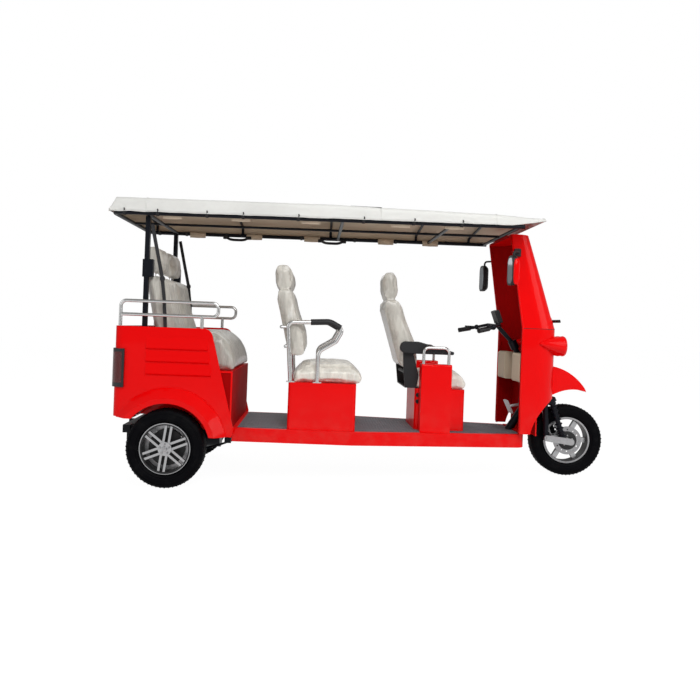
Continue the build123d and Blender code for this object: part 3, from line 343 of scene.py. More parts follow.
def brake_steel():
    """Bright swept ring round a black carrier."""
    f = Finish("brake_steel")
    swept = f.ease(f.reach(middle("front_brake_disc")), CARRIER_R, CARRIER_R + PAINT_EDGE)
    rings = f.grain(300.0, 2.0)
    bright = f.mix(rings, (0.30, 0.30, 0.31, 1), (0.46, 0.46, 0.47, 1))
    base = f.mix(swept, (0.010, 0.010, 0.011, 1), bright)
    return f.set(base_color=base, metallic=swept * 0.9, roughness=0.45 - swept * 0.15 + rings * 0.1)


def cast_metal(name, low, high, roughness):
    f = Finish(name)
    cloud = f.grain(60.0, 5.0)
    f.relief((f.grain(240.0, 4.0), 0.0002))
    return f.set(base_color=f.mix(cloud, low, high), metallic=0.85, roughness=roughness + cloud * 0.18)


def tyre_rubber():
    f = Finish("tyre_rubber")
    dust = f.ease(f.grain(22.0, 6.0), 0.45, 0.8)
    base = f.mix(dust * 0.4, (0.002, 0.002, 0.003, 1), (0.012, 0.012, 0.012, 1))
    f.relief((f.grain(380.0, 3.0), 0.0003))
    return f.set(base_color=base, roughness=0.50 + dust * 0.2, specular_ior_level=0.05)


def moulded(name, low, high, roughness):
    """Grained plastic or rubber."""
    f = Finish(name)
    cloud = f.grain(9.0, 4.0)
    f.relief((f.grain(520.0, 2.0), 0.0002))
    base = f.mix(cloud, low, high)
    return f.set(base_color=base, roughness=roughness + cloud * 0.12, specular_ior_level=0.3)


def canopy_cloth():
    f = Finish("canopy_cloth")
    canvas = tuple(settings().canvas)
    stain = f.ease(f.grain(2.2, 5.0), 0.4, 0.75)
    base = f.mix(stain * 0.5, canvas, tint(canvas, 0.84))
    weave = f.bands(420.0, "X") * f.bands(420.0, "Y")
    f.relief((weave, 0.0003), (f.grain(5.0, 3.0, (0.5, 2.0, 1.0)), 0.006))
    return f.set(base_color=base, roughness=0.55 + stain * 0.12, coat_weight=0.12)


def lining_cloth():
    f = Finish("lining_cloth")
    tan = tuple(settings().lining)
    cloud = f.grain(4.0, 4.0)
    weave = f.bands(500.0, "X") + f.bands(500.0, "Y")
    f.relief((weave, 0.0002), (f.grain(7.0, 3.0), 0.004))
    return f.set(base_color=f.mix(cloud, tint(tan, 0.8), tint(tan, 1.1)), roughness=0.85)


def wrapped_vinyl(name, shade):
    """Cream seat cover under a clear wrap, creased along its height, with painted shade in the creases and
    painted highlights on the wrap.
    """
    f = Finish(name)
    # Lighter or darker copy of the cream: painted light on the cushions, painted shade on the rear bench and
    # the backs.
    cream = tint(tuple(settings().vinyl), shade)
    crinkle = f.grain(17.0, 5.0, (1.3, 1.3, 0.35))
    fold_shadow = f.ease(crinkle, 0.36, 0.62)
    glare = f.ease(f.grain(30.0, 4.0, (1.2, 1.6, 0.4)), 0.60, 0.72)
    # Darker cream where the crinkles dip: painted shade in the creases.
    base = f.mix(fold_shadow, tint(cream, 0.84), tint(cream, 1.04))
    # Patches pulled towards near white: painted highlights on the clear wrap.
    base = f.mix(glare * 0.45, base, (0.88, 0.87, 0.84, 1))
    f.relief((f.grain(360.0, 2.0), 0.0002), (crinkle, 0.019), (f.grain(60.0, 4.0, (1.2, 1.2, 0.5)), 0.0036))
    return f.set(base_color=base, roughness=0.32 - glare * 0.12, coat_weight=0.60, coat_roughness=0.10)


def webbing():
    f = Finish("belt_webbing")
    weave = f.bands(700.0, "Z") * f.bands(500.0, "X")
    f.relief((weave, 0.0005))
    return f.set(base_color=f.mix(weave, (0.010, 0.010, 0.012, 1), (0.022, 0.022, 0.026, 1)), roughness=0.7)


def floor_rubber():
    f = Finish("floor_rubber")
    dust = f.ease(f.grain(8.0, 6.0), 0.4, 0.8)
    base = f.mix(dust, (0.128, 0.132, 0.150, 1), (0.205, 0.208, 0.225, 1))
    f.relief((f.grain(300.0, 3.0), 0.0004))
    return f.set(base_color=base, roughness=0.62 + dust * 0.2)


def clear_sheet(name, colour, alpha, roughness):
    """Clear glass with a faint haze."""
    f = Finish(name)
    haze = f.grain(6.0, 4.0)
    base = f.mix(haze, colour, tint(colour, 0.92))
    mat = f.set(base_color=base, roughness=roughness + haze * 0.05, alpha=alpha + haze * 0.05)
    mat.surface_render_method = "BLENDED"
    return mat


LAMP_FOOT = 0.030
LAMP_HEAD = 0.024
LAMP_RIM = 0.018
LAMP_SOFT = 0.002


def lamp_red():
    """Fluted red lens in a black frame."""
    f = Finish("lamp_red")
    x, _, z = f.axes()
    low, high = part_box("tail_lamps")
    flute = f.bands(90.0, "Z")
    base = f.mix(flute, (0.05, 0.001, 0.002, 1), (0.15, 0.003, 0.004, 1))
    foot, head, rim = low.z + LAMP_FOOT, high.z - LAMP_HEAD, high.x - LAMP_RIM
    ends = f.ease(z, foot, foot - LAMP_SOFT) + f.ease(z, head, head + LAMP_SOFT)
    border = ends.maths("MAXIMUM", ends, f.ease(x, rim, rim + LAMP_SOFT / 2))
    base = f.mix(border, base, (0.006, 0.006, 0.008, 1))
    f.relief((flute * (1.0 - border), 0.0016))
    return f.set(base_color=base, roughness=0.14 + border * 0.3, specular_ior_level=0.4, coat_weight=0.4)


def silvered():
    f = Finish("silvered_glass")
    base = f.mix(f.grain(3.0), (0.30, 0.33, 0.36, 1), (0.42, 0.45, 0.48, 1))
    return f.set(base_color=base, metallic=1.0, roughness=0.06)


def make_finishes():
    """Makes every finish."""
    for make in (
        red_enamel, red_painted_shade, black_enamel, stainless, tyre_rubber, canopy_cloth, lining_cloth, webbing,
        floor_rubber, lamp_red, silvered, brake_steel,
    ):
        make()
    machined_alloy("rear_alloy", middle("rear_rim_right"), REAR_FACE_Y, (0.008, 0.008, 0.009, 1))
    machined_alloy("front_alloy", middle("front_rim"), FRONT_FACE_Y, (0.022, 0.022, 0.024, 1))
    # Lit and shaded copies of one cream vinyl: painted light on the middle and driver's cushions, painted
    # shade on the rear bench and the backs.
    for name, shade in (("cushion_vinyl_lit", 1.15), ("bench_vinyl_shaded", 0.70), ("back_vinyl_shaded", 0.84)):
        wrapped_vinyl(name, shade)
    cast_metal("bare_steel", (0.34, 0.34, 0.35, 1), (0.56, 0.56, 0.57, 1), 0.30)
    moulded("black_moulding", (0.011, 0.011, 0.012, 1), (0.020, 0.020, 0.022, 1), 0.42)
    moulded("beige_moulding", (0.55, 0.47, 0.34, 1), (0.64, 0.55, 0.41, 1), 0.45)
    moulded("battery_case", (0.030, 0.032, 0.036, 1), (0.045, 0.047, 0.052, 1), 0.5)
    clear_sheet("clear_glass", (0.82, 0.88, 0.88, 1), 0.12, 0.03)
    clear_sheet("lamp_glass", (0.86, 0.89, 0.92, 1), 0.16, 0.05)


# Finish of each solid that stays in view
NODE_FINISH = {
    "red_enamel": (
        "floor_sill", "rear_panel", "rear_side_left", "rear_side_right", "rear_seat_base", "middle_seat_box",
        "driver_seat_box", "driver_side_boxes", "fairing_lower", "fairing_upper", "leg_shield",
        "front_fender",
    ),
    "black_enamel": (
        "chassis_frame", "roof_posts", "roof_frame", "rear_axle", "leaf_springs", "steering_fork",
        "front_shocks", "handlebar",
    ),
    "stainless": ("luggage_rails", "middle_armrests", "driver_grab_hoops"),
    "black_moulding": (
        "middle_armrest_grips", "driver_seat_frame", "mirrors", "wiper", "handlebar_grips",
        "handlebar_display",
    ),
    "beige_moulding": ("storage_boxes",),
    "battery_case": ("battery_pack",),
    "bare_steel": ("brake_pedal", "front_links"),
    "brake_steel": ("front_brake_disc",),
    "floor_rubber": ("floor_deck",),
    "clear_glass": ("windscreen",),
    "lamp_glass": ("headlamp_lenses",),
    "lamp_red": ("tail_lamps",),
    "rear_alloy": ("rear_rim_right", "rear_rim_left"),
    "front_alloy": ("front_rim",),
}


# Mesh making
def linked(name, data):
    """A new object in the scene."""
    obj = bpy.data.objects.new(name, data)
    bpy.context.scene.collection.objects.link(obj)
    return obj


def mesh_of(name, bm):
    """A mesh from a bmesh, which is used up."""
    mesh = bpy.data.meshes.new(name)
    bm.to_mesh(mesh)
    bm.free()
    return mesh


def evaluated_mesh(obj):
    """Plain mesh of an object with its modifiers."""
    graph = bpy.context.evaluated_depsgraph_get()
    return bpy.data.meshes.new_from_object(obj.evaluated_get(graph))


def piece(name, bm, body, finishes, smooth=True):
    """A finished piece from a bmesh, riding on a body."""
    return piece_of_mesh(name, mesh_of(name, bm), body, finishes, smooth)


def piece_of_mesh(name, mesh, body, finishes, smooth=True):
    """A finished piece from a mesh, riding on a body."""
    obj = linked(name, mesh)
    mesh.materials.clear()
    for finish in finishes:
        mesh.materials.append(MATERIALS[finish])
    if smooth:
        mesh.shade_smooth()
    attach(obj, body)
    return obj


def sharpen(obj, degrees=35):
    """Keeps hard edges crisp on a smooth piece."""
    obj.data.set_sharp_from_angle(angle=math.radians(degrees))


def circle(sides, start=0.0):
    """Cosine and sine of evenly spaced turns, the first a share of a step on."""
    turns = [math.tau * (k + start) / sides for k in range(sides)]
    return [(math.cos(a), math.sin(a)) for a in turns]


def add_rings(bm, rings, close_ends=True, material=0):
    """Skins a list of closed rings of points, in order."""
    loops = [[bm.verts.new(p) for p in ring] for ring in rings]
    count = len(loops[0])
    for low, high in zip(loops, loops[1:]):
        for i in range(count):
            j = (i + 1) % count
            bm.faces.new((low[i], low[j], high[j], high[i])).material_index = material
    if close_ends:
        bm.faces.new(list(reversed(loops[0]))).material_index = material
        bm.faces.new(loops[-1]).material_index = material


def add_tube(bm, points, radius, sides, material=0):
    """A round bar along points."""
    points = [Vector(p) for p in points]
    rings = []
    side = None
    for i, point in enumerate(points):
        ahead = (points[min(i + 1, len(points) - 1)] - points[max(i - 1, 0)]).normalized()
        if side is None:
            side = ahead.orthogonal().normalized()
        side = (side - ahead * side.dot(ahead)).normalized()
        over = ahead.cross(side)
        rings.append([point + (side * c + over * s) * radius for c, s in circle(sides)])
    add_rings(bm, rings, True, material)


def add_block(bm, low, high, bevel, place=None):
    """A bevelled block between two corners."""
    low, high = Vector(low), Vector(high)
    verts = bmesh.ops.create_cube(bm, size=1.0)["verts"]
    for v in verts:
        v.co = Vector([(low[i] + high[i]) / 2 + v.co[i] * (high[i] - low[i]) for i in range(3)])
        if place is not None:
            v.co = place @ v.co
    edges = list({e for v in verts for e in v.link_edges})
    bmesh.ops.bevel(bm, geom=edges, offset=bevel, segments=2, affect="EDGES", profile=0.6)


def add_spin(bm, profile, centre, segments, material=0):
    """A closed profile of radius and y turned about the Y axis."""
    loops = []
    for c, s in circle(segments):
        loops.append([bm.verts.new(centre + Vector((r * s, y, r * c))) for r, y in profile])
    count = len(profile)
    for k in range(segments):
        one, two = loops[k], loops[(k + 1) % segments]
        for i in range(count):
            j = (i + 1) % count
            bm.faces.new((one[i], one[j], two[j], two[i])).material_index = material


def tidy(bm):
    """Closes doubles and turns the faces outwards."""
    bmesh.ops.remove_doubles(bm, verts=bm.verts, dist=1e-6)
    bmesh.ops.recalc_face_normals(bm, faces=bm.faces)


# Repeats
def repeat_tree(name, circular):
    """Tree that repeats a block along a line, or round the Y axis."""
    tree = bpy.data.node_groups.new(name, "GeometryNodeTree")
    face = tree.interface
    face.new_socket("Geometry", in_out="INPUT", socket_type="NodeSocketGeometry")
    for label, kind in (
        ("Block", "NodeSocketObject"),
        ("Count", "NodeSocketInt"),
        ("Step", "NodeSocketVector"),
        ("Start", "NodeSocketVector"),
        ("Finish", "NodeSocketMaterial"),
    ):
        face.new_socket(label, in_out="INPUT", socket_type=kind)
    face.new_socket("Geometry", in_out="OUTPUT", socket_type="NodeSocketGeometry")
    nodes, links = tree.nodes, tree.links
    given = nodes.new("NodeGroupInput")
    result = nodes.new("NodeGroupOutput")
    line = nodes.new("GeometryNodeMeshLine")
    block = nodes.new("GeometryNodeObjectInfo")
    spread = nodes.new("GeometryNodeInstanceOnPoints")
    solid = nodes.new("GeometryNodeRealizeInstances")
    coat = nodes.new("GeometryNodeSetMaterial")
    links.new(given.outputs["Block"], block.inputs["Object"])
    links.new(given.outputs["Count"], line.inputs["Count"])
    links.new(given.outputs["Start"], line.inputs["Start Location"])
    links.new(line.outputs["Mesh"], spread.inputs["Points"])
    links.new(block.outputs["Geometry"], spread.inputs["Instance"])
    if circular:
        line.inputs["Offset"].default_value = (0, 0, 0)
        number = nodes.new("GeometryNodeInputIndex")
        turn = nodes.new("ShaderNodeVectorMath")
        turn.operation = "SCALE"
        links.new(given.outputs["Step"], turn.inputs[0])
        links.new(number.outputs[0], turn.inputs["Scale"])
        links.new(turn.outputs[0], spread.inputs["Rotation"])
    else:
        links.new(given.outputs["Step"], line.inputs["Offset"])
    links.new(spread.outputs["Instances"], solid.inputs["Geometry"])
    links.new(solid.outputs["Geometry"], coat.inputs["Geometry"])
    links.new(given.outputs["Finish"], coat.inputs["Material"])
    links.new(coat.outputs["Geometry"], result.inputs["Geometry"])
    return tree


TREES = {}


def repeated(name, bm, count, step, start, finish, circular):
    """Plain mesh of a block repeated by a tree."""
    block = linked(name + "_block", mesh_of(name + "_block", bm))
    host = linked(name + "_host", bpy.data.meshes.new(name + "_host"))
    if circular not in TREES:
        TREES[circular] = repeat_tree("repeat_round" if circular else "repeat_along", circular)
    made = host.modifiers.new("repeat", "NODES")
    made.node_group = TREES[circular]
    values = {"Block": block, "Count": count, "Step": step, "Start": start, "Finish": MATERIALS[finish]}
    for item in made.node_group.interface.items_tree:
        if item.in_out == "INPUT" and item.name in values:
            made[item.identifier] = values[item.name]
    host.update_tag()
    result = evaluated_mesh(host)
    for old in (host, block):
        bpy.data.objects.remove(old)
    return result


def repeated_round(name, bm, count, finish):
    """Plain mesh of a block repeated round the Y axis."""
    return repeated(name, bm, count, (0, math.tau / count, 0), (0, 0, 0), finish, True)


def join_into(bm, mesh, place=None):
    """Adds a mesh to a bmesh, in the first finish."""
    verts, faces = len(bm.verts), len(bm.faces)
    bm.from_mesh(mesh)
    bm.verts.ensure_lookup_table()
    bm.faces.ensure_lookup_table()
    if place is not None:
        for v in bm.verts[verts:]:
            v.co = place @ v.co
    for f in bm.faces[faces:]:
        f.material_index = 0


# Tyres
# Section of a tyre casing: radius in metres, share of the half width
CASING = (
    (0.166, 0.62), (0.170, 0.70), (0.178, 0.80), (0.190, 0.93), (0.204, 1.0), (0.219, 0.995), (0.232, 0.955),
    (0.2415, 0.88), (0.2455, 0.80),
)
# Sidewall rings: radius in metres, share of the half width, and the section of one ring
SIDE_RINGS = ((0.186, 0.915), (0.228, 0.985))
RING_SECTION = ((-0.0015, -0.004), (-0.0012, 0.0012), (0.0012, 0.0012), (0.0015, -0.004))
# One lug: half length in metres, share of the half width
LUG = ((0.0040, 0.70), (0.0046, 0.86), (0.0040, 0.955))
LUG_TOP = TYRE_R - 0.0005
LUG_DEPTH = 0.012
LUG_FALL = 0.0185
LUG_TAPER = 0.85
SHOULDER = 0.66
SHOULDER_DROP = 0.003
TREAD_DROP = 0.0012
TREAD_CROWN = 0.004
GROOVE_AT = (0.3224, 0.0, -0.3224)
GROOVE_HALF = 0.0045
GROOVE_DEPTH = 0.0075


def casing_profile(half):
    """Closed tyre section with three long grooves in the tread."""
    outer = [(r, half * s) for r, s in CASING]
    outer.append((TYRE_R - SHOULDER_DROP, half * SHOULDER))
    inner = [(r, -y) for r, y in reversed(outer)]
    edge, foot = GROOVE_HALF, GROOVE_HALF * 0.7
    tread = []
    for share in GROOVE_AT:
        top = TYRE_R - TREAD_DROP - TREAD_CROWN * share**2
        for dy, depth in ((edge, 0), (foot, GROOVE_DEPTH), (-foot, GROOVE_DEPTH), (-edge, 0)):
            tread.append((top - depth, half * share + dy))
    return outer + tread + inner


def tread_block(half):
    """One lug on each shoulder, standing at the top of the wheel."""
    bm = bmesh.new()
    for side in (-1, 1):
        rings = []
        for width, share in LUG:
            y = side * half * share
            top = LUG_TOP - LUG_FALL * max(0, (share - SHOULDER) / 0.30) ** 2
            foot, ridge = top - LUG_DEPTH, width * LUG_TAPER
            corners = ((-width, foot), (width, foot), (ridge, top), (-ridge, top))
            rings.append([Vector((x, y, z)) for x, z in corners])
        add_rings(bm, rings)
    tidy(bm)
    return bm


def make_tyre(node, body):
    """Detailed road tyre in place of a plain one."""
    low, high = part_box(node)
    centre = (low + high) / 2
    half = (high.y - low.y) / 2
    bm = bmesh.new()
    add_spin(bm, casing_profile(half), centre, 120)
    for side in (-1, 1):
        for radius, bulge in SIDE_RINGS:
            y = side * half * bulge
            add_spin(bm, [(radius + r, y + side * d) for r, d in RING_SECTION], centre, 96)
    tidy(bm)
    lugs = repeated_round(node + "_lugs", tread_block(half), settings().tread_blocks, "tyre_rubber")
    join_into(bm, lugs, Matrix.Translation(centre))
    obj = piece(node + "_road", bm, body, ["tyre_rubber"])
    sharpen(obj, 40)
    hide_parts(node)


class TRICYCLE_OT_tyres(bpy.types.Operator):
    """Makes the road tyres with grooves, lugs and sidewall rings"""

    bl_idname = "tricycle.tyres"
    bl_label = "Tyres"

    def execute(self, context):
        make_tyre("rear_tyre_right", "rear_wheel_right")
        make_tyre("rear_tyre_left", "rear_wheel_left")
        make_tyre("front_tyre", "front_wheel")
        return {"FINISHED"}


# Wheel trim
NUT_COUNT = 5
NUT_FACE = 0.0578
NUT_PITCH_R = 0.030
NUT_R = 0.0075
BOLT_PITCH_R = 0.036
BOLT_R = 0.0065
BOLT_SINK = 0.001
HUB_FACE = 0.0575
# Turned sections: radius, and distance outwards from the hub's face or the wheel's middle
HUB_CAP = (
    (0.0005, -0.004), (0.0168, -0.004), (0.0168, 0.006), (0.0150, 0.010), (0.0090, 0.0118), (0.0005, 0.0118),
)
DUST_PLATE = ((0.1190, -0.030), (0.1190, -0.027), (0.1490, -0.027), (0.1490, -0.030))
RIM_EDGE = ((0.1530, 0.0415), (0.1530, 0.0450), (0.1580, 0.0460), (0.1580, 0.0415))
VALVE = ((0.112, 0.030, 0.082), (0.106, 0.052, 0.078))
VALVE_R = 0.004


def nut(radius, height):
    """Chamfered hexagon nut on its stud, its outer end towards minus Y, at the origin."""
    bm = bmesh.new()
    hexagon = ((0.0, radius), (-height * 0.8, radius), (-height, radius * 0.84))
    stud = ((-height, radius * 0.5), (-height * 1.7, radius * 0.5), (-height * 1.8, radius * 0.4))
    for section, sides in ((hexagon, 6), (stud, 10)):
        add_rings(bm, [[Vector((r * c, y, r * s)) for c, s in circle(sides)] for y, r in section])
    tidy(bm)
    return bm


def ring_of_nuts(name, centre, side, y, pitch, size):
    """Nuts round a hub, on its outer face."""
    bm = nut(size, size * 0.9)
    for v in bm.verts:
        v.co = Vector((v.co.x, v.co.y * -side, v.co.z + pitch))
    bmesh.ops.recalc_face_normals(bm, faces=bm.faces)
    mesh = repeated_round(name, bm, NUT_COUNT, "bare_steel")
    mesh.transform(Matrix.Translation((centre.x, y, centre.z)))
    return mesh


class TRICYCLE_OT_wheel_trim(bpy.types.Operator):
    """Makes hub caps, lug nuts, dust plates, valves, disc bolts and rim edges"""

    bl_idname = "tricycle.wheel_trim"
    bl_label = "Wheel trim"

    def execute(self, context):
        self.rear("rear_rim_right", "rear_wheel_right", -1)
        self.rear("rear_rim_left", "rear_wheel_left", 1)
        self.front()
        return {"FINISHED"}

    def rear(self, node, body, side):
        """Nuts, cap, dust plate and valve of one rear wheel."""
        centre = middle(node)
        bm = bmesh.new()
        face = centre.y + side * NUT_FACE
        join_into(bm, ring_of_nuts(node + "_nuts", centre, side, face, NUT_PITCH_R, NUT_R))
        add_spin(bm, [(r, side * (HUB_FACE + d)) for r, d in HUB_CAP], centre, 28)
        add_spin(bm, [(r, side * d) for r, d in DUST_PLATE], centre, 64, 1)
        stem = [centre + Vector((x, side * y, z)) for x, y, z in VALVE]
        add_tube(bm, stem, VALVE_R, 10, 1)
        tidy(bm)
        obj = piece(node + "_trim", bm, body, ["bare_steel", "black_moulding"])
        sharpen(obj)

    def front(self):
        """Disc bolts and bright rim edges of the front wheel."""
        centre = middle("front_rim")
        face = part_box("front_brake_disc")[0].y + BOLT_SINK
        bm = bmesh.new()
        join_into(bm, ring_of_nuts("front_disc_bolts", centre, -1, face, BOLT_PITCH_R, BOLT_R))
        for side in (-1, 1):
            add_spin(bm, [(r, side * d) for r, d in RIM_EDGE], centre, 96)
        tidy(bm)
        obj = piece("front_wheel_trim", bm, "front_wheel", ["bare_steel"])
        sharpen(obj)


# Padded pieces
COVER_INSET = 0.006
SWELL_FRAMES = 20
CREASE_DEPTH = 0.0016
CHANNEL_HALF = 0.009
SEAT_CHANNEL = 0.006
BACK_CHANNEL = 0.008
BACK_CHANNELS_AT = (-0.62, -0.31, 0.0, 0.31, 0.62)
BACK_FULLNESS = 0.022
BACK_FOOT = 0.05
BACK_HEAD = 0.01


def merged_copy(node):
    """A joined copy of a solid's mesh."""
    bm = bmesh.new()
    bm.from_mesh(NODES[node].data)
    bmesh.ops.remove_doubles(bm, verts=bm.verts, dist=1e-5)
    return bm


def points_of(mesh, kind="co"):
    """Places of a mesh's points, or their normals."""
    values = np.zeros(len(mesh.vertices) * 3, np.float64)
    mesh.vertices.foreach_get(kind, values)
    return values.reshape(-1, 3)


def put_points(mesh, points):
    mesh.vertices.foreach_set("co", np.asarray(points, np.float64).ravel())
    mesh.update()


def inflate(obj, cap):
    """Swells a closed cover with cloth under pressure and applies the result."""
    looks = settings()
    start = points_of(obj.data)
    cloth = obj.modifiers.new("swell", "CLOTH")
    cloth.settings.use_pressure = True
    cloth.settings.uniform_pressure_force = looks.swell
    cloth.settings.mass = 0.3
    cloth.settings.tension_stiffness = 20
    cloth.settings.compression_stiffness = 20
    cloth.settings.quality = 2
    cloth.settings.effector_weights.gravity = 0
    cloth.collision_settings.use_collision = False
    scene = bpy.context.scene
    cloth.point_cache.frame_start = 1
    cloth.point_cache.frame_end = SWELL_FRAMES
    for number in range(1, SWELL_FRAMES + 1):
        scene.frame_set(number)
    mesh = evaluated_mesh(obj)
    moved = points_of(mesh) - start
    length = np.linalg.norm(moved, axis=1, keepdims=True)
    moved *= np.minimum(1.0, cap / np.maximum(length, 1e-9))
    obj.modifiers.remove(cloth)
    scene.frame_set(1)
    put_points(obj.data, start + moved)


def padded_node(node, shape, channels, finish):
    """A padded cover made from a solid: remeshed, swollen, sewn and slightly creased."""
    looks = settings()
    name = node + "_cover"
    obj = linked(name, mesh_of(name, merged_copy(node)))
    remesh = obj.modifiers.new("grain", "REMESH")
    remesh.mode = "VOXEL"
    remesh.voxel_size = looks.voxel
    cover = evaluated_mesh(obj)
    obj.modifiers.remove(remesh)
    obj.data = cover
    put_points(cover, points_of(cover) - points_of(cover, "normal") * COVER_INSET)
    inflate(obj, looks.swell_cap)
    bm = bmesh.new()
    bm.from_mesh(cover)
    for _ in range(3):
        bmesh.ops.smooth_vert(
            bm, verts=bm.verts, factor=0.5, use_axis_x=True, use_axis_y=True, use_axis_z=True
        )
    bm.to_mesh(cover)
    bm.free()
    put_points(cover, shape(points_of(cover), points_of(cover, "normal")))
    points, normals = points_of(cover), points_of(cover, "normal")
    points = points + normals * channels(points, normals)[:, None]
    crease = np.array([noise.noise(Vector(p) * 21.0) + 0.5 * noise.noise(Vector(p) * 47.0) for p in points])
    put_points(cover, points + normals * (crease * CREASE_DEPTH)[:, None])
    bpy.data.objects.remove(obj)
    made = piece_of_mesh(name, cover, "chassis", [finish])
    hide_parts(node)


def pillow(low, high, rounding, pull):
    """Shape of a seat: edges rolled down and the front drawn back."""

    def bend(points, normals):
        x = (points[:, 0] - low.x) / (high.x - low.x) * 2 - 1
        y = (points[:, 1] - low.y) / (high.y - low.y) * 2 - 1
        lift = np.clip((points[:, 2] - low.z) / (high.z - low.z), 0, 1)
        roll = rounding * (0.75 * np.abs(x) ** 3 + 0.6 * np.abs(y) ** 4) * lift
        points[:, 2] -= roll * (high.z - low.z)
        points[:, 0] -= pull * np.clip(x, 0, 1) ** 2 * (0.35 + 0.65 * lift)
        return points

    return bend


def lumbar(low, high, depth):
    """Shape of a back: fuller low down on its front."""

    def bend(points, normals):
        rise = (points[:, 2] - low.z) / (high.z - low.z)
        facing = np.clip((normals[:, 0] + 0.1) / 0.5, 0, 1)
        points[:, 0] += depth * facing * np.exp(-(((rise - 0.26) / 0.17) ** 2))
        return points

    return bend


def sewn(offsets, width, depth, mask):
    """Depth of sewn channels at side offsets, where a mask lets them show."""

    def press(points, normals):
        down = np.zeros(len(points))
        for y in offsets:
            down = np.minimum(down, -depth * np.exp(-(((points[:, 1] - y) / width) ** 2)))
        return down * mask(points, normals)

    return press


def front_of_back(low_z, high_z):
    """Mask: the leaning front face between two heights."""

    def mask(points, normals):
        facing = np.clip((normals[:, 0] - 0.35) / 0.3, 0, 1)
        rise = np.clip((points[:, 2] - low_z) / 0.03, 0, 1) * np.clip((high_z - points[:, 2]) / 0.03, 0, 1)
        return facing * rise

    return mask


def top_of_seat(points, normals):
    """Mask: the upper and front faces of a seat."""
    facing = np.maximum(normals[:, 2], normals[:, 0])
    return np.clip((facing - 0.25) / 0.3, 0, 1)


class TRICYCLE_OT_seats(bpy.types.Operator):
    """Makes the padded seats and backs"""

    bl_idname = "tricycle.seats"
    bl_label = "Seats"

    def execute(self, context):
        # Node, number of channels, rounding, pull of the front edge and finish
        for node, count, rounding, pull, finish in (
            # The rear bench takes the shaded vinyl as painted shade; the other cushions take the lit vinyl as
            # painted light.
            ("rear_seat_cushion", 12, 0.20, 0.034, "bench_vinyl_shaded"),
            ("middle_seat_cushion", 10, 0.34, 0.0, "cushion_vinyl_lit"),
            ("driver_seat_cushion", 6, 0.30, 0.0, "cushion_vinyl_lit"),
        ):
            low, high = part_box(node)
            span = high.y - low.y
            offsets = [low.y + span * (k + 0.5) / count for k in range(count)]
            channels = sewn(offsets, CHANNEL_HALF, SEAT_CHANNEL, top_of_seat)
            padded_node(node, pillow(low, high, rounding, pull), channels, finish)
        # Node, middles of its backs and half width of each
        for node, middles, half in (
            ("rear_seat_backs", (-0.208, 0.208), 0.19),
            ("middle_seat_backs", (-0.174, 0.174), 0.168),
            ("driver_seat_back", (0.0,), 0.2),
        ):
            low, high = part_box(node)
            offsets = [m + half * s for m in middles for s in BACK_CHANNELS_AT]
            mask = front_of_back(low.z + BACK_FOOT, high.z - BACK_HEAD)
            channels = sewn(offsets, CHANNEL_HALF, BACK_CHANNEL, mask)
            # The backs take the shaded vinyl: painted shade.
            padded_node(node, lumbar(low, high, BACK_FULLNESS), channels, "back_vinyl_shaded")
        return {"FINISHED"}


# Canopy
def canopy_row(x):
    """Half width, hem, edge and crown of the canopy at x."""
    for low, high in zip(CANOPY, CANOPY[1:]):
        if low[0] <= x <= high[0]:
            share = (x - low[0]) / (high[0] - low[0])
            return [a + share * (b - a) for a, b in zip(low[1:], high[1:])]
    return list(CANOPY[-1][1:])


EDGE_R = 26
HEM_Z = 1774
CORNER_STEPS = 5
ROOF_STEPS = 40
WALL_STEPS = 5
EDGE_STEPS = WALL_STEPS + CORNER_STEPS
REAR_ROWS = 5
LONG_ROWS = 150
# Raise of the hem, place in the noise and strength of the waves of each cloth
COVER_CLOTH = (0.0, 3.1, 1.0)
LINING_CLOTH = (6.0, 7.7, 0.6)
LINING_INSET = 5.0
COVER_THICK = 0.002
LINING_THICK = 0.0015
WELT_OUT = 0.6
WELT_R = 0.0026
HEM_WELT_OUT = 0.4
HEM_WELT_R = 0.0024
# Painted shadow of the cloth overlap: steps, offset outwards, width and thickness
FOLD_SHADOW_STEPS = 16
FOLD_SHADOW_OUT = 2.0
FOLD_SHADOW_WIDTH = 0.044
FOLD_SHADOW_THICK = 0.0009
TIE_STEPS = 12
TIE_HALF = 11
TIE_THICK = 0.0014
TIE_KNOT = ((-6, 17, -4), (0, 20, 4), (6, 27, 14), (3, 29, 24))
TIE_KNOT_R = 0.0042
# Rows of a tab: rise and inset from the side tube, and bow of its middle
TAB_ROWS = ((-30, 18, 2.0), (-6, 17, 0.0), (12, 14.5, 0.0))
TAB_HALF = 62
TAB_THICK = 2
GRIP_STEPS = 20
GRIP_HALF = 92
GRIP_IN = 8
GRIP_DROP = 27
GRIP_R = 0.0105
GRIP_FOOT = Vector((0.020, 0.015, 0.012))
GRIP_FOOT_DROP = 18


def canopy_line(x, inset, hem_up):
    """Cross line of the canopy cloth from one hem to the other, as y and z."""
    half, hem, edge, crown = canopy_row(x)
    half, edge, crown = half - inset, edge - inset, crown - inset
    hem = min(max(hem, HEM_Z) + hem_up, edge - EDGE_R * 0.5)
    radius = min(EDGE_R, (edge - hem) * 0.8)
    rise = crown - edge
    line = []
    for k in range(WALL_STEPS):
        line.append((half, hem + (edge - radius - hem) * k / WALL_STEPS))
    for k in range(CORNER_STEPS):
        a = math.pi / 2 * k / CORNER_STEPS
        line.append((half - radius + radius * math.cos(a), edge - radius + radius * math.sin(a)))
    inner = half - radius
    for k in range(ROOF_STEPS + 1):
        y = inner * (1 - 2 * k / ROOF_STEPS)
        line.append((y, edge + rise * (1 - (y / inner) ** 2)))
    for y, z in reversed(line[:EDGE_STEPS]):
        line.append((-y, z))
    return line


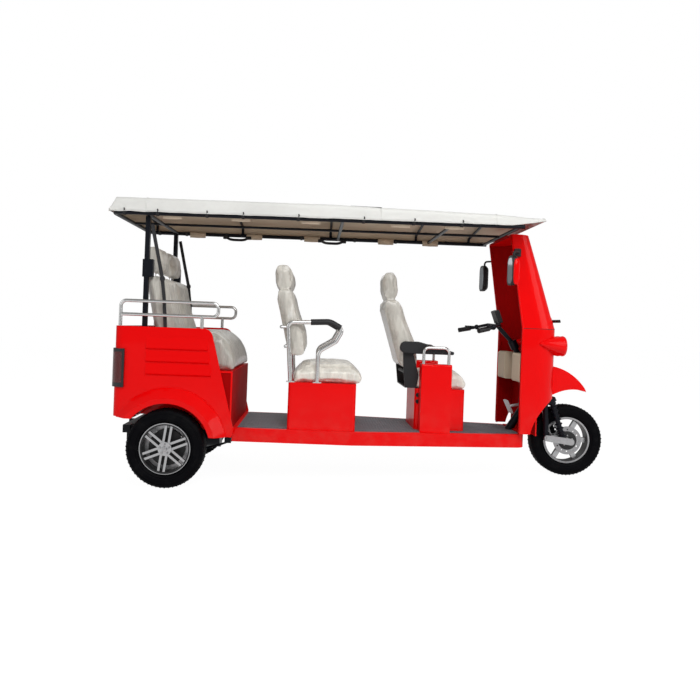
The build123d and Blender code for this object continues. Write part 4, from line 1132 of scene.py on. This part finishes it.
def roof_row(x, inset, hem_up, seed, wave):
    """Points of the cloth across the roof at x, with sag between the bows and a loose hem."""
    bows = [CANOPY[0][0], *BOW_X, CANOPY[-1][0]]
    near = max(b for b in bows if b <= x)
    far = min([b for b in bows if b > x] or [near + 1])
    dip = math.sin(math.pi * (x - near) / max(far - near, 1)) ** 2 * settings().sag * 1000
    line = canopy_line(x, inset, hem_up)
    half = canopy_row(x)[0]
    row = []
    for k, (y, z) in enumerate(line):
        low = max(0.0, 1 - min(k, len(line) - 1 - k) / EDGE_STEPS)
        flat = max(0.0, 1 - (y / half) ** 2)
        z -= dip * flat
        z += noise.noise(Vector((x * 0.004, y * 0.006, seed))) * 3.0 * wave * flat
        z += noise.noise(Vector((x * 0.012, seed, 0))) * 4.0 * low * wave
        y -= math.copysign(1, y) * (2.0 + 2.5 * noise.noise(Vector((x * 0.02, seed, 5)))) * low * wave
        row.append(at(x, y, z))
    return row


def canopy_sheet(inset, hem_up, seed, wave):
    """Bmesh of one continuous roof sheet."""
    rear, bend, front = CANOPY[0][0], CANOPY[1][0], CANOPY[-1][0]
    stations = {*np.linspace(rear, bend, REAR_ROWS).tolist(), *np.linspace(bend, front, LONG_ROWS).tolist()}
    stations = sorted(stations)
    bm = bmesh.new()
    rows = [[bm.verts.new(p) for p in roof_row(x, inset, hem_up, seed, wave)] for x in stations]
    for one, two in zip(rows, rows[1:]):
        for i in range(len(one) - 1):
            bm.faces.new((one[i], one[i + 1], two[i + 1], two[i]))
    # Turned-down hems across both ends
    for row, x in ((rows[0], stations[0]), (rows[-1], stations[-1])):
        hem = canopy_row(x)[1] + hem_up
        fall = []
        for v in row:
            drop = v.co.copy()
            drop.z = min(v.co.z, at(x, 0, max(hem, HEM_Z if x < 0 else hem)).z)
            fall.append(bm.verts.new(drop))
        for i in range(len(row) - 1):
            if (row[i].co - fall[i].co).length > 1e-5 or (row[i + 1].co - fall[i + 1].co).length > 1e-5:
                bm.faces.new((row[i], fall[i], fall[i + 1], row[i + 1]))
    bmesh.ops.remove_doubles(bm, verts=bm.verts, dist=1e-5)
    bmesh.ops.dissolve_degenerate(bm, edges=bm.edges, dist=1e-6)
    bmesh.ops.recalc_face_normals(bm, faces=bm.faces)
    if sum(f.normal.z * f.calc_area() for f in bm.faces) < 0:
        bmesh.ops.reverse_faces(bm, faces=bm.faces)
    return bm


def thicken(obj, thickness):
    """Gives a sheet its cloth thickness, inwards."""
    made = obj.modifiers.new("cloth", "SOLIDIFY")
    made.thickness = thickness
    made.offset = -1
    mesh = evaluated_mesh(obj)
    obj.modifiers.remove(made)
    old = obj.data
    obj.data = mesh
    bpy.data.meshes.remove(old)


class TRICYCLE_OT_canopy(bpy.types.Operator):
    """Makes the roof cloth, its lining, welts, the painted shadow where the cloth overlaps, ties and tabs,
    and the hand grips
    """

    bl_idname = "tricycle.canopy"
    bl_label = "Canopy"

    def execute(self, context):
        bm = canopy_sheet(0.0, *COVER_CLOTH)
        area = sum(f.calc_area() for f in bm.faces)
        cover = piece("canopy_cover", bm, "chassis", ["canopy_cloth"])
        thicken(cover, COVER_THICK)
        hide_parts("canopy")
        area / 2.90
        bm = canopy_sheet(LINING_INSET, *LINING_CLOTH)
        area = sum(f.calc_area() for f in bm.faces)
        lining = piece("canopy_lining", bm, "chassis", ["lining_cloth"])
        thicken(lining, LINING_THICK)
        area / 2.88
        self.welts()
        self.fold_shadow()
        self.ties()
        self.tabs()
        self.grips()
        return {"FINISHED"}

    def welts(self):
        """Sewn welts across the roof and along both hems."""
        bm = bmesh.new()
        for x in SEAM_X:
            add_tube(bm, roof_row(x, -WELT_OUT, *COVER_CLOTH), WELT_R, 6)
        for hem in (0, -1):
            for low, high in zip(SEAM_X, SEAM_X[1:]):
                line = [roof_row(x, -HEM_WELT_OUT, *COVER_CLOTH)[hem] for x in np.linspace(low, high, 40)]
                add_tube(bm, line, HEM_WELT_R, 6)
        tidy(bm)
        piece("canopy_welts", bm, "chassis", ["canopy_cloth"])

    def fold_shadow(self):
        """Painted shadow: a dark wedge on the right edge, where two lengths of cloth overlap."""
        bm = bmesh.new()
        rings = []
        for k in range(FOLD_SHADOW_STEPS + 1):
            x = FOLD_SHADOW_X[0] + (FOLD_SHADOW_X[1] - FOLD_SHADOW_X[0]) * k / FOLD_SHADOW_STEPS
            edge = roof_row(x, -FOLD_SHADOW_OUT, *COVER_CLOTH)[-EDGE_STEPS - 2:]
            reach = FOLD_SHADOW_WIDTH * (k + 0.4) / (FOLD_SHADOW_STEPS + 0.4)
            upper = []
            for one, two in zip(edge, edge[1:]):
                step = (two - one).length
                upper.append(one)
                if reach <= step:
                    upper.append(one + (two - one) * (reach / step))
                    break
                reach -= step
            upper += [upper[-1]] * (EDGE_STEPS + 2 - len(upper))
            under = [p - Vector((0, -FOLD_SHADOW_THICK, FOLD_SHADOW_THICK)) for p in reversed(upper)]
            rings.append(upper + under)
        add_rings(bm, rings)
        bmesh.ops.dissolve_degenerate(bm, edges=bm.edges, dist=1e-6)
        tidy(bm)
        # Dark webbing sheet standing for the shadow of the overlap: painted shadow.
        piece("canopy_fold", bm, "chassis", ["belt_webbing"])

    def ties(self):
        """Cloth loops that tie the hem to the side tubes."""
        bm = bmesh.new()
        for side in (-1, 1):
            for x in TIE_X:
                rings = []
                for k in range(TIE_STEPS + 1):
                    a = math.tau * k / TIE_STEPS
                    r = ROOF_TUBE_R + 1.6 + 0.8 * math.sin(3 * a)
                    y = side * (ROOF_HALF + r * math.cos(a))
                    z = ROOF_Z + r * math.sin(a)
                    wide = TIE_HALF + 2 * math.sin(a)
                    out = Vector((0, side * math.cos(a), math.sin(a))) * TIE_THICK
                    inner = [at(x - wide, y, z), at(x + wide, y, z)]
                    rings.append(inner + [p + out for p in reversed(inner)])
                add_rings(bm, rings, False)
                knot = [at(x + dx, side * (ROOF_HALF + dy), ROOF_Z + dz) for dx, dy, dz in TIE_KNOT]
                add_tube(bm, knot, TIE_KNOT_R, 8)
        tidy(bm)
        piece("canopy_ties", bm, "chassis", ["belt_webbing"])

    def tabs(self):
        """Folded cloth tabs over the side tubes."""
        bm = bmesh.new()
        for side in (-1, 1):
            for x in TAB_X:
                rings = []
                for rise, inset, bow in TAB_ROWS:
                    ring = []
                    for depth, ends in ((0, (-1, 0, 1)), (TAB_THICK, (1, 0, -1))):
                        for end in ends:
                            dip = 0.0 if end else bow
                            y = side * (ROOF_HALF - inset - depth - dip)
                            ring.append(at(x + end * TAB_HALF, y, ROOF_Z + rise - dip))
                    rings.append(ring)
                add_rings(bm, rings)
        tidy(bm)
        piece("canopy_tabs", bm, "chassis", ["lining_cloth"])

    def grips(self):
        """Moulded hand grips hanging from the left side tube."""
        bm = bmesh.new()
        y = ROOF_HALF - GRIP_IN
        for x in HANDLE_X:
            points = []
            for k in range(GRIP_STEPS + 1):
                t = 2 * k / GRIP_STEPS - 1
                points.append(at(x + GRIP_HALF * t, y, ROOF_Z - GRIP_IN - GRIP_DROP * (1 - abs(t) ** 4)))
            add_tube(bm, points, GRIP_R, 10)
            for end in (-1, 1):
                place = Matrix.Translation(at(x + end * GRIP_HALF, y, ROOF_Z - GRIP_FOOT_DROP))
                add_block(bm, -GRIP_FOOT, GRIP_FOOT, 0.004, place)
        tidy(bm)
        obj = piece("hand_straps", bm, "chassis", ["black_moulding"])
        sharpen(obj)


# Floor
MAT_REAR_X = 436
MAT_BEND_X = 1190
MAT_FRONT_X = 2325
MAT_HALF = 362
MAT_NOSE_HALF = 205
MAT_FOOT_Z = 380.2
MAT_TOP_Z = 383.0
RIB_FIRST_X = 450
RIB_LAST_X = 2315
RIB_INSET = 7
RIB_HALF = 0.0035
RIB_REACH = 0.2
RIB_HEIGHT = 0.0022


class TRICYCLE_OT_floor_mat(bpy.types.Operator):
    """Makes the ribbed rubber mat on the deck"""

    bl_idname = "tricycle.floor_mat"
    bl_label = "Floor mat"

    def execute(self, context):
        bm = bmesh.new()
        left = [(MAT_REAR_X, MAT_HALF), (MAT_BEND_X, MAT_HALF), (MAT_FRONT_X, MAT_NOSE_HALF)]
        outline = left + [(x, -y) for x, y in reversed(left)]
        add_rings(bm, [[at(x, y, z) for x, y in outline] for z in (MAT_FOOT_Z, MAT_TOP_Z)])
        tidy(bm)
        block = bmesh.new()
        add_block(block, (-RIB_HALF, -RIB_REACH, 0), (RIB_HALF, RIB_REACH, RIB_HEIGHT), 0.001)
        count = settings().mat_ribs
        first, last = at(RIB_FIRST_X, 0, MAT_TOP_Z), at(RIB_LAST_X, 0, MAT_TOP_Z)
        step = (last - first) / (count - 1)
        mesh = repeated("mat_ribs", block, count, tuple(step), tuple(first), "floor_rubber", False)
        points = points_of(mesh)
        along = (points[:, 0] - first.x) / (last.x - first.x)
        ahead = RIB_FIRST_X + along * (RIB_LAST_X - RIB_FIRST_X)
        taper = (MAT_HALF - MAT_NOSE_HALF) / (MAT_FRONT_X - MAT_BEND_X)
        half = (MAT_HALF - RIB_INSET - np.maximum(ahead - MAT_BEND_X, 0) * taper) / 1000
        points[:, 1] = np.sign(points[:, 1]) * half * np.abs(points[:, 1]) / RIB_REACH
        put_points(mesh, points)
        join_into(bm, mesh)
        piece("floor_mat", bm, "chassis", ["floor_rubber"], smooth=False)
        return {"FINISHED"}


# Finishes of solids
# Limits of the faces that take the darker red of painted shade.
SIDE_FACING = 0.3
CABIN_FACING = 0.45
MIDDLE_STRIP = 0.02


class TRICYCLE_OT_finishes(bpy.types.Operator):
    """Makes every material and gives the solids theirs"""

    bl_idname = "tricycle.finishes"
    bl_label = "Finishes"

    def execute(self, context):
        make_finishes()
        for finish, nodes in NODE_FINISH.items():
            for node in nodes:
                data = NODES[node].data
                data.materials.clear()
                data.materials.append(MATERIALS[finish])
        for node in ("fairing_lower", "fairing_upper", "leg_shield", "rear_seat_base"):
            self.shade_inside(NODES[node].data, node == "rear_seat_base")
        return {"FINISHED"}

    def shade_inside(self, data, bench):
        """Gives the faces turned to the cabin, and a bench's front, the darker red of painted shade."""
        data.materials.append(MATERIALS["red_painted_shade"])
        for face in data.polygons:
            to_middle = -face.normal.y * math.copysign(1, face.center.y)
            inward = to_middle > SIDE_FACING and abs(face.center.y) > MIDDLE_STRIP
            bench_front = bench and face.normal.x > CABIN_FACING
            if inward or face.normal.x < -CABIN_FACING or bench_front:
                face.material_index = 1


# Belts
BELT_PATH = ((-168, 1702), (-128, 1520), (-90, 1350), (-72, 1210), (-60, 1046), (-52, 900), (-50, 759))
BELT_STEPS = 12
BELT_Y = 435
BELT_HALF = 12
WEB_HALF = 0.7
# Tongue and sewn end: x, z and half height
BELT_PLATES = ((-89, 1346, 22), (-50, 776, 16))
PLATE_HALF = 18
# Section of a plate: offset from the belt, share of its size
PLATE_SECTION = ((-2.8, 0.9), (-2, 1.0), (2, 1.0), (2.8, 0.9))


class TRICYCLE_OT_belts(bpy.types.Operator):
    """Makes the shoulder belts with tongues and sewn ends"""

    bl_idname = "tricycle.belts"
    bl_label = "Belts"

    def execute(self, context):
        bm = bmesh.new()
        path = []
        for one, two in zip(BELT_PATH, BELT_PATH[1:]):
            path += [tuple(a + (b - a) * k / BELT_STEPS for a, b in zip(one, two)) for k in range(BELT_STEPS)]
        path.append(BELT_PATH[-1])
        for side in (-1, 1):
            self.web(bm, path, side)
            self.plates(bm, side)
        tidy(bm)
        finishes = ["belt_webbing", "black_moulding"]
        belts = piece("belt_webs", bm, "chassis", finishes, smooth=False)
        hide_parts("seat_belts")
        return {"FINISHED"}

    def web(self, bm, path, side):
        """Flat web of one belt, swaying a little."""
        rings = []
        for i, (x, z) in enumerate(path):
            before, after = path[max(i - 1, 0)], path[min(i + 1, len(path) - 1)]
            run = Vector((after[0] - before[0], after[1] - before[1])).normalized()
            across = Vector((-run.y, run.x)) * BELT_HALF
            sway = 0.5 * math.sin(i * 0.35)
            ring = []
            for w, t in ((-1, -WEB_HALF), (1, -WEB_HALF), (1, WEB_HALF), (-1, WEB_HALF)):
                ring.append(at(x + across.x * w, side * (BELT_Y + t + sway), z + across.y * w))
            rings.append(ring)
        add_rings(bm, rings)

    def plates(self, bm, side):
        """Tongue and sewn end of one belt."""
        for x, z, high in BELT_PLATES:
            rings = []
            for dy, share in PLATE_SECTION:
                y, wide, tall = side * (BELT_Y + dy), PLATE_HALF * share, high * share
                rings.append([at(x + wide * c, y, z + tall * s) for c, s in circle(8, 0.5)])
            add_rings(bm, rings, True, 1)


# Trim
# Caliper blocks: spans along x, y and z from the disc's middle, and bevel
CALIPER = (
    ((-0.116, -0.060), (-0.024, -0.010), (-0.012, 0.040), 0.004),
    ((-0.116, -0.064), (0.010, 0.018), (-0.008, 0.036), 0.003),
    ((-0.122, -0.106), (-0.024, 0.018), (-0.012, 0.040), 0.004),
)
HOSE = ((-0.118, -0.014, 0.036), (-0.138, -0.012, 0.090), (-0.160, -0.004, 0.160), (-0.190, 0.006, 0.230))
HOSE_R = 0.0045
SOCKETS = ((1652, 622), (1652, 578))
# Section of a socket: distance to the right, radius
SOCKET_SECTION = ((204, 15), (209, 15), (211, 13), (211, 9), (207, 8), (207, 1))
# Wires down the leg shield: y and sway
WIRES = ((-66, 6), (-52, -5), (62, 8))
WIRE_X = 2441
WIRE_TOP_Z = 770
WIRE_STEP = 22
WIRE_R = 0.0055
CLIP_Z = (700, 560)
CLIP_Y = (-78, -42)
CLIP_HALF = 7
CLIP_HEIGHT = 12
LAMP_Y = 182
LAMP_Z = 995
# Turned sections of a headlamp: x and radius
BOWL = ((2645.3, 59.5), (2652.0, 58), (2647.0, 42), (2645.8, 16), (2655.0, 13), (2656.0, 6))
POD_MOUTH = ((2644, 60.6), (2654, 60.6), (2655, 64))
BEZEL = ((2651, 66), (2656, 68), (2659, 65), (2659, 61.5), (2653, 61))
POD_STEPS = 24
POD_X = 2653
POD_LENGTH = 196
POD_Y = 186
POD_SPREAD = 104
POD_RISE = 16
POD_R = 74
POD_LIP_R = 68
FAIR_REAR_X = 2337
FAIR_CORNER_X = 2422
FAIR_CORNER_Y = 105
FAIR_CORNER_R = 185
FAIR_MIDDLE_X = 2380
BEAD = (
    (FAIR_REAR_X, 287, 400), (FAIR_REAR_X, 287, 760), (FAIR_REAR_X, 287, 1108), (2296, 282, 1370),
    (2240, 274, 1740),
)
BEAD_R = 0.0058
# Section of the seam: distance outwards, height
SEAM_SECTION = ((-2, 1108), (0.8, 1108), (0.8, 1111), (-2, 1111))
BENCH_SIDE = ((258, 744), (387, 744), (387, 402), (300, 402))
BENCH_SIDE_Y = (463, 467)
MIRROR_ROUNDING = 0.6
MIRROR_HALF_HEIGHT = 86
GLASS_Y = 372
GLASS_Z = 1491
GLASS_HALF = 50
# Section of a mirror glass: x, share of its size
GLASS_SECTION = ((2208.4, 1.0), (2207.2, 0.985))
SHELL_X = 2234
SHELL_Z = 1480
SHELL_HALF = 21
# Section of a mirror shell: y, share of its size
SHELL_SECTION = ((433, 1.0), (437, 0.95), (441, 0.80), (443.5, 0.5), (444.4, 0.2))


def lamp_ring(x, radius, side, sides):
    """Ring of points round a headlamp's axis."""
    return [at(x, side * LAMP_Y + radius * c, LAMP_Z + radius * s) for c, s in circle(sides)]


class TRICYCLE_OT_trim(bpy.types.Operator):
    """Makes mirrors, headlamps, panel edges, bench ends, the brake caliper, sockets and wiring"""

    bl_idname = "tricycle.trim"
    bl_label = "Trim"

    def execute(self, context):
        self.mirrors()
        self.lamps()
        self.pods()
        self.panel_edges()
        self.bench_sides()
        self.brake()
        self.sockets()
        self.cables()
        return {"FINISHED"}

    def brake(self):
        """Caliper over the back of the front disc and the hose up the fork leg."""
        centre = middle("front_brake_disc")
        bm = bmesh.new()
        for *spans, bevel in CALIPER:
            low, high = [centre + Vector(p) for p in zip(*spans)]
            add_block(bm, low, high, bevel)
        add_tube(bm, [centre + Vector(p) for p in HOSE], HOSE_R, 8, 1)
        tidy(bm)
        obj = piece("front_caliper", bm, "steering", ["bare_steel", "black_moulding"])
        sharpen(obj)

    def sockets(self):
        """Charging and switch sockets on the driver's seat box."""
        bm = bmesh.new()
        for x, z in SOCKETS:
            add_rings(bm, [[at(x + r * c, -y, z + r * s) for c, s in circle(20)] for y, r in SOCKET_SECTION])
        tidy(bm)
        obj = piece("seat_box_sockets", bm, "chassis", ["black_moulding"])
        sharpen(obj)

    def cables(self):
        """Wiring clipped down the leg shield, and its clips."""
        bm = bmesh.new()
        for y, sway in WIRES:
            line = [at(WIRE_X, y + sway * math.sin(k * 0.8), WIRE_TOP_Z - WIRE_STEP * k) for k in range(17)]
            add_tube(bm, line, WIRE_R, 8)
        for z in CLIP_Z:
            low = at(WIRE_X - CLIP_HALF, CLIP_Y[0], z)
            add_block(bm, low, at(WIRE_X + CLIP_HALF, CLIP_Y[1], z + CLIP_HEIGHT), 0.002)
        tidy(bm)
        piece("leg_shield_wiring", bm, "chassis", ["black_moulding"])

    def pods(self):
        """Teardrop shells round the headlamps, running back along the corners, and their bezels."""
        bm = bmesh.new()
        for side in (-1, 1):
            rings = [lamp_ring(x, r, side, 40) for x, r in POD_MOUTH]
            for k in range(POD_STEPS + 1):
                t = k / POD_STEPS
                x, y, z = POD_X - POD_LENGTH * t, side * (POD_Y + POD_SPREAD * t), LAMP_Z + POD_RISE * t
                r = POD_R * (1 - t) ** 0.62 + 1.0 if k else POD_LIP_R
                rings.append([at(x + 8 * c * t, y + r * c, z + r * 0.97 * s) for c, s in circle(40)])
            add_rings(bm, rings)
            bezel = list(zip(*[lamp_ring(x, r, side, 48) for x, r in BEZEL]))
            add_rings(bm, bezel + bezel[:1], False, 1)
        tidy(bm)
        obj = piece("headlamp_pods", bm, "chassis", ["red_enamel", "black_moulding"])
        sharpen(obj, 50)

    def panel_edges(self):
        """Rolled rear edges of the fairing and the dark seam between its halves."""
        bm = bmesh.new()
        for side in (-1, 1):
            add_tube(bm, [at(x, side * y, z) for x, y, z in BEAD], BEAD_R, 10)
        tidy(bm)
        piece("fairing_beads", bm, "chassis", ["red_enamel"])
        bm = bmesh.new()
        line = [(FAIR_REAR_X, FAIR_CORNER_Y + FAIR_CORNER_R)]
        for k in range(15):
            a = math.pi / 2 * k / 14
            ahead, aside = FAIR_CORNER_R * math.sin(a), FAIR_CORNER_R * math.cos(a)
            line.append((FAIR_CORNER_X + ahead, FAIR_CORNER_Y + aside))
        line += [(x, -y) for x, y in reversed(line)]
        rings = []
        for x, y in line:
            out = Vector((x - FAIR_MIDDLE_X, y, 0)).normalized()
            rings.append([at(x + out.x * d, y + out.y * d, z) for d, z in SEAM_SECTION])
        add_rings(bm, rings)
        tidy(bm)
        piece("fairing_seam", bm, "chassis", ["black_moulding"], smooth=False)

    def bench_sides(self):
        """Closing plates at both ends of the rear bench, in the darker red of painted shade."""
        bm = bmesh.new()
        for side in (-1, 1):
            add_rings(bm, [[at(x, side * y, z) for x, z in BENCH_SIDE] for y in BENCH_SIDE_Y])
        tidy(bm)
        piece("bench_sides", bm, "chassis", ["red_painted_shade"], smooth=False)

    def mirrors(self):
        """Tinted glass in each mirror and a red shell on its outer side."""
        glass, shell = bmesh.new(), bmesh.new()
        oval = []
        for turn in circle(40):
            oval.append([math.copysign(abs(part) ** MIRROR_ROUNDING, part) for part in turn])
        for side in (-1, 1):
            rings = []
            for x, share in GLASS_SECTION:
                y, wide, tall = side * GLASS_Y, GLASS_HALF * share, MIRROR_HALF_HEIGHT * share
                rings.append([at(x, y + wide * c, GLASS_Z + tall * s) for c, s in oval])
            add_rings(glass, rings)
            rings = []
            for y, share in SHELL_SECTION:
                wide, tall = SHELL_HALF * share, MIRROR_HALF_HEIGHT * share
                rings.append([at(SHELL_X + wide * c, side * y, SHELL_Z + tall * s) for c, s in oval])
            add_rings(shell, rings)
        tidy(glass)
        tidy(shell)
        piece("mirror_glass", glass, "chassis", ["silvered_glass"], smooth=False)
        obj = piece("mirror_shells", shell, "chassis", ["red_enamel"])
        sharpen(obj, 60)

    def lamps(self):
        """Bright bowls behind the headlamp lenses."""
        bm = bmesh.new()
        for side in (-1, 1):
            add_rings(bm, [lamp_ring(x, r, side, 36) for x, r in BOWL])
        tidy(bm)
        piece("headlamp_bowls", bm, "chassis", ["silvered_glass"])


# Stage
CAMERA_X = 0.956 - CENTRE_X / 1000
CAMERA_Y = -4.67
CAMERA_Z = 1.057
SENSOR_MM = 36
FOCUS_PX = 645
IMAGE_PX = 700
MIDDLE_PX = (316, 325)
ROLL = 0.0127
WHITE = (1, 1, 1, 1)
FLOOR_GREY = (0.88, 0.88, 0.88, 1)
FLOOR_GLOW = 1.08
FLOOR_GLOW_SHARE = 0.90
WORLD_LIGHT = 0.30


def white_light(shader, strength):
    """Sets a shader to give white light."""
    shader.inputs["Color"].default_value = WHITE
    shader.inputs["Strength"].default_value = strength
    return shader


def blend(tree, factor, first, second, output):
    """Mixes two shaders by a factor into an output."""
    mixed = tree.nodes.new("ShaderNodeMixShader")
    for source, socket in zip((factor.socket, first.outputs[0], second.outputs[0]), mixed.inputs):
        tree.links.new(source, socket)
    tree.links.new(mixed.outputs[0], output.inputs[0])


class TRICYCLE_OT_stage(bpy.types.Operator):
    """Makes the floor, lights, world and camera"""

    bl_idname = "tricycle.stage"
    bl_label = "Stage"

    def execute(self, context):
        scene = context.scene
        scene.view_settings.view_transform = "Standard"
        self.floor()
        self.world(scene)
        self.lamp("key", (0.8, -4.4, 4.4), (52, 0, 10), 3.4, 185)
        self.lamp("fill", (-4.4, -2.6, 2.6), (72, 0, -58), 3.0, 34)
        self.lamp("front", (4.6, -1.8, 2.4), (72, 0, 68), 2.6, 48)
        self.lamp("back", (-1.0, 4.2, 3.8), (-58, 0, 0), 4.0, 40)
        self.camera(scene)
        return {"FINISHED"}

    def floor(self):
        """Wide floor that is white to the camera and grey to the light."""
        bm = bmesh.new()
        bmesh.ops.create_grid(bm, x_segments=1, y_segments=1, size=30)
        mesh = mesh_of("studio_floor", bm)
        obj = linked("studio_floor", mesh)
        mat = bpy.data.materials.new("studio_floor")
        mat.use_nodes = True
        tree = mat.node_tree
        tree.nodes.clear()
        path = tree.nodes.new("ShaderNodeLightPath")
        plain = tree.nodes.new("ShaderNodeBsdfDiffuse")
        plain.inputs["Color"].default_value = FLOOR_GREY
        glow = white_light(tree.nodes.new("ShaderNodeEmission"), FLOOR_GLOW)
        seen = Val(tree, path.outputs["Is Camera Ray"])
        seen = seen.maths("MAXIMUM", seen, Val(tree, path.outputs["Is Glossy Ray"]) * 0.5)
        seen = seen.maths("MAXIMUM", seen, Val(tree, path.outputs["Is Transmission Ray"]))
        out = tree.nodes.new("ShaderNodeOutputMaterial")
        blend(tree, seen * FLOOR_GLOW_SHARE, plain, glow, out)
        mesh.materials.append(mat)

    def world(self, scene):
        """Soft light all round, behind a white backdrop."""
        world = bpy.data.worlds.new("studio")
        world.use_nodes = True
        scene.world = world
        tree = world.node_tree
        light = white_light(tree.nodes["Background"], WORLD_LIGHT)
        backdrop = white_light(tree.nodes.new("ShaderNodeBackground"), 1.0)
        path = tree.nodes.new("ShaderNodeLightPath")
        seen = Val(tree, path.outputs["Is Camera Ray"])
        seen = seen.maths("MAXIMUM", seen, Val(tree, path.outputs["Is Transmission Ray"]))
        blend(tree, seen, light, backdrop, tree.nodes["World Output"])

    def lamp(self, name, place, turn, size, watts):
        """A square lamp, turned by degrees."""
        data = bpy.data.lights.new(name, "AREA")
        data.shape = "SQUARE"
        data.size = size
        data.energy = watts
        obj = linked(name, data)
        obj.location = place
        obj.rotation_euler = Euler([math.radians(a) for a in turn])

    def camera(self, scene):
        """Camera at the photograph's place."""
        data = bpy.data.cameras.new("camera")
        data.sensor_width = SENSOR_MM
        data.lens = FOCUS_PX / IMAGE_PX * SENSOR_MM
        data.shift_x = (IMAGE_PX / 2 - MIDDLE_PX[0]) / IMAGE_PX
        data.shift_y = (MIDDLE_PX[1] - IMAGE_PX / 2) / IMAGE_PX
        obj = linked("camera", data)
        obj.location = (CAMERA_X, CAMERA_Y, CAMERA_Z)
        obj.rotation_euler = (math.pi / 2, -ROLL, 0)
        scene.camera = obj


OPERATORS = (
    TRICYCLE_OT_stage,
    TRICYCLE_OT_finishes,
    TRICYCLE_OT_tyres,
    TRICYCLE_OT_wheel_trim,
    TRICYCLE_OT_seats,
    TRICYCLE_OT_canopy,
    TRICYCLE_OT_floor_mat,
    TRICYCLE_OT_belts,
    TRICYCLE_OT_trim,
)


class TRICYCLE_PT_looks(bpy.types.Panel):
    """Lists the pieces"""

    bl_idname = "TRICYCLE_PT_looks"
    bl_label = "Passenger tricycle"
    bl_space_type = "VIEW_3D"
    bl_region_type = "UI"
    bl_category = "Tricycle"

    def draw(self, context):
        for name in TricycleLooks.__annotations__:
            self.layout.prop(settings(), name)
        for operator in OPERATORS:
            self.layout.operator(operator.bl_idname)


CLASSES = (TricycleLooks, *OPERATORS, TRICYCLE_PT_looks)


def register():
    for item in CLASSES:
        bpy.utils.register_class(item)
    bpy.types.Scene.tricycle_looks = bpy.props.PointerProperty(type=TricycleLooks)


def unregister():
    del bpy.types.Scene.tricycle_looks
    for item in reversed(CLASSES):
        bpy.utils.unregister_class(item)


def main():
    register()
    for operator in OPERATORS:
        group, name = operator.bl_idname.split(".")
        getattr(getattr(bpy.ops, group), name)()


if __name__ == "__main__":
    main()
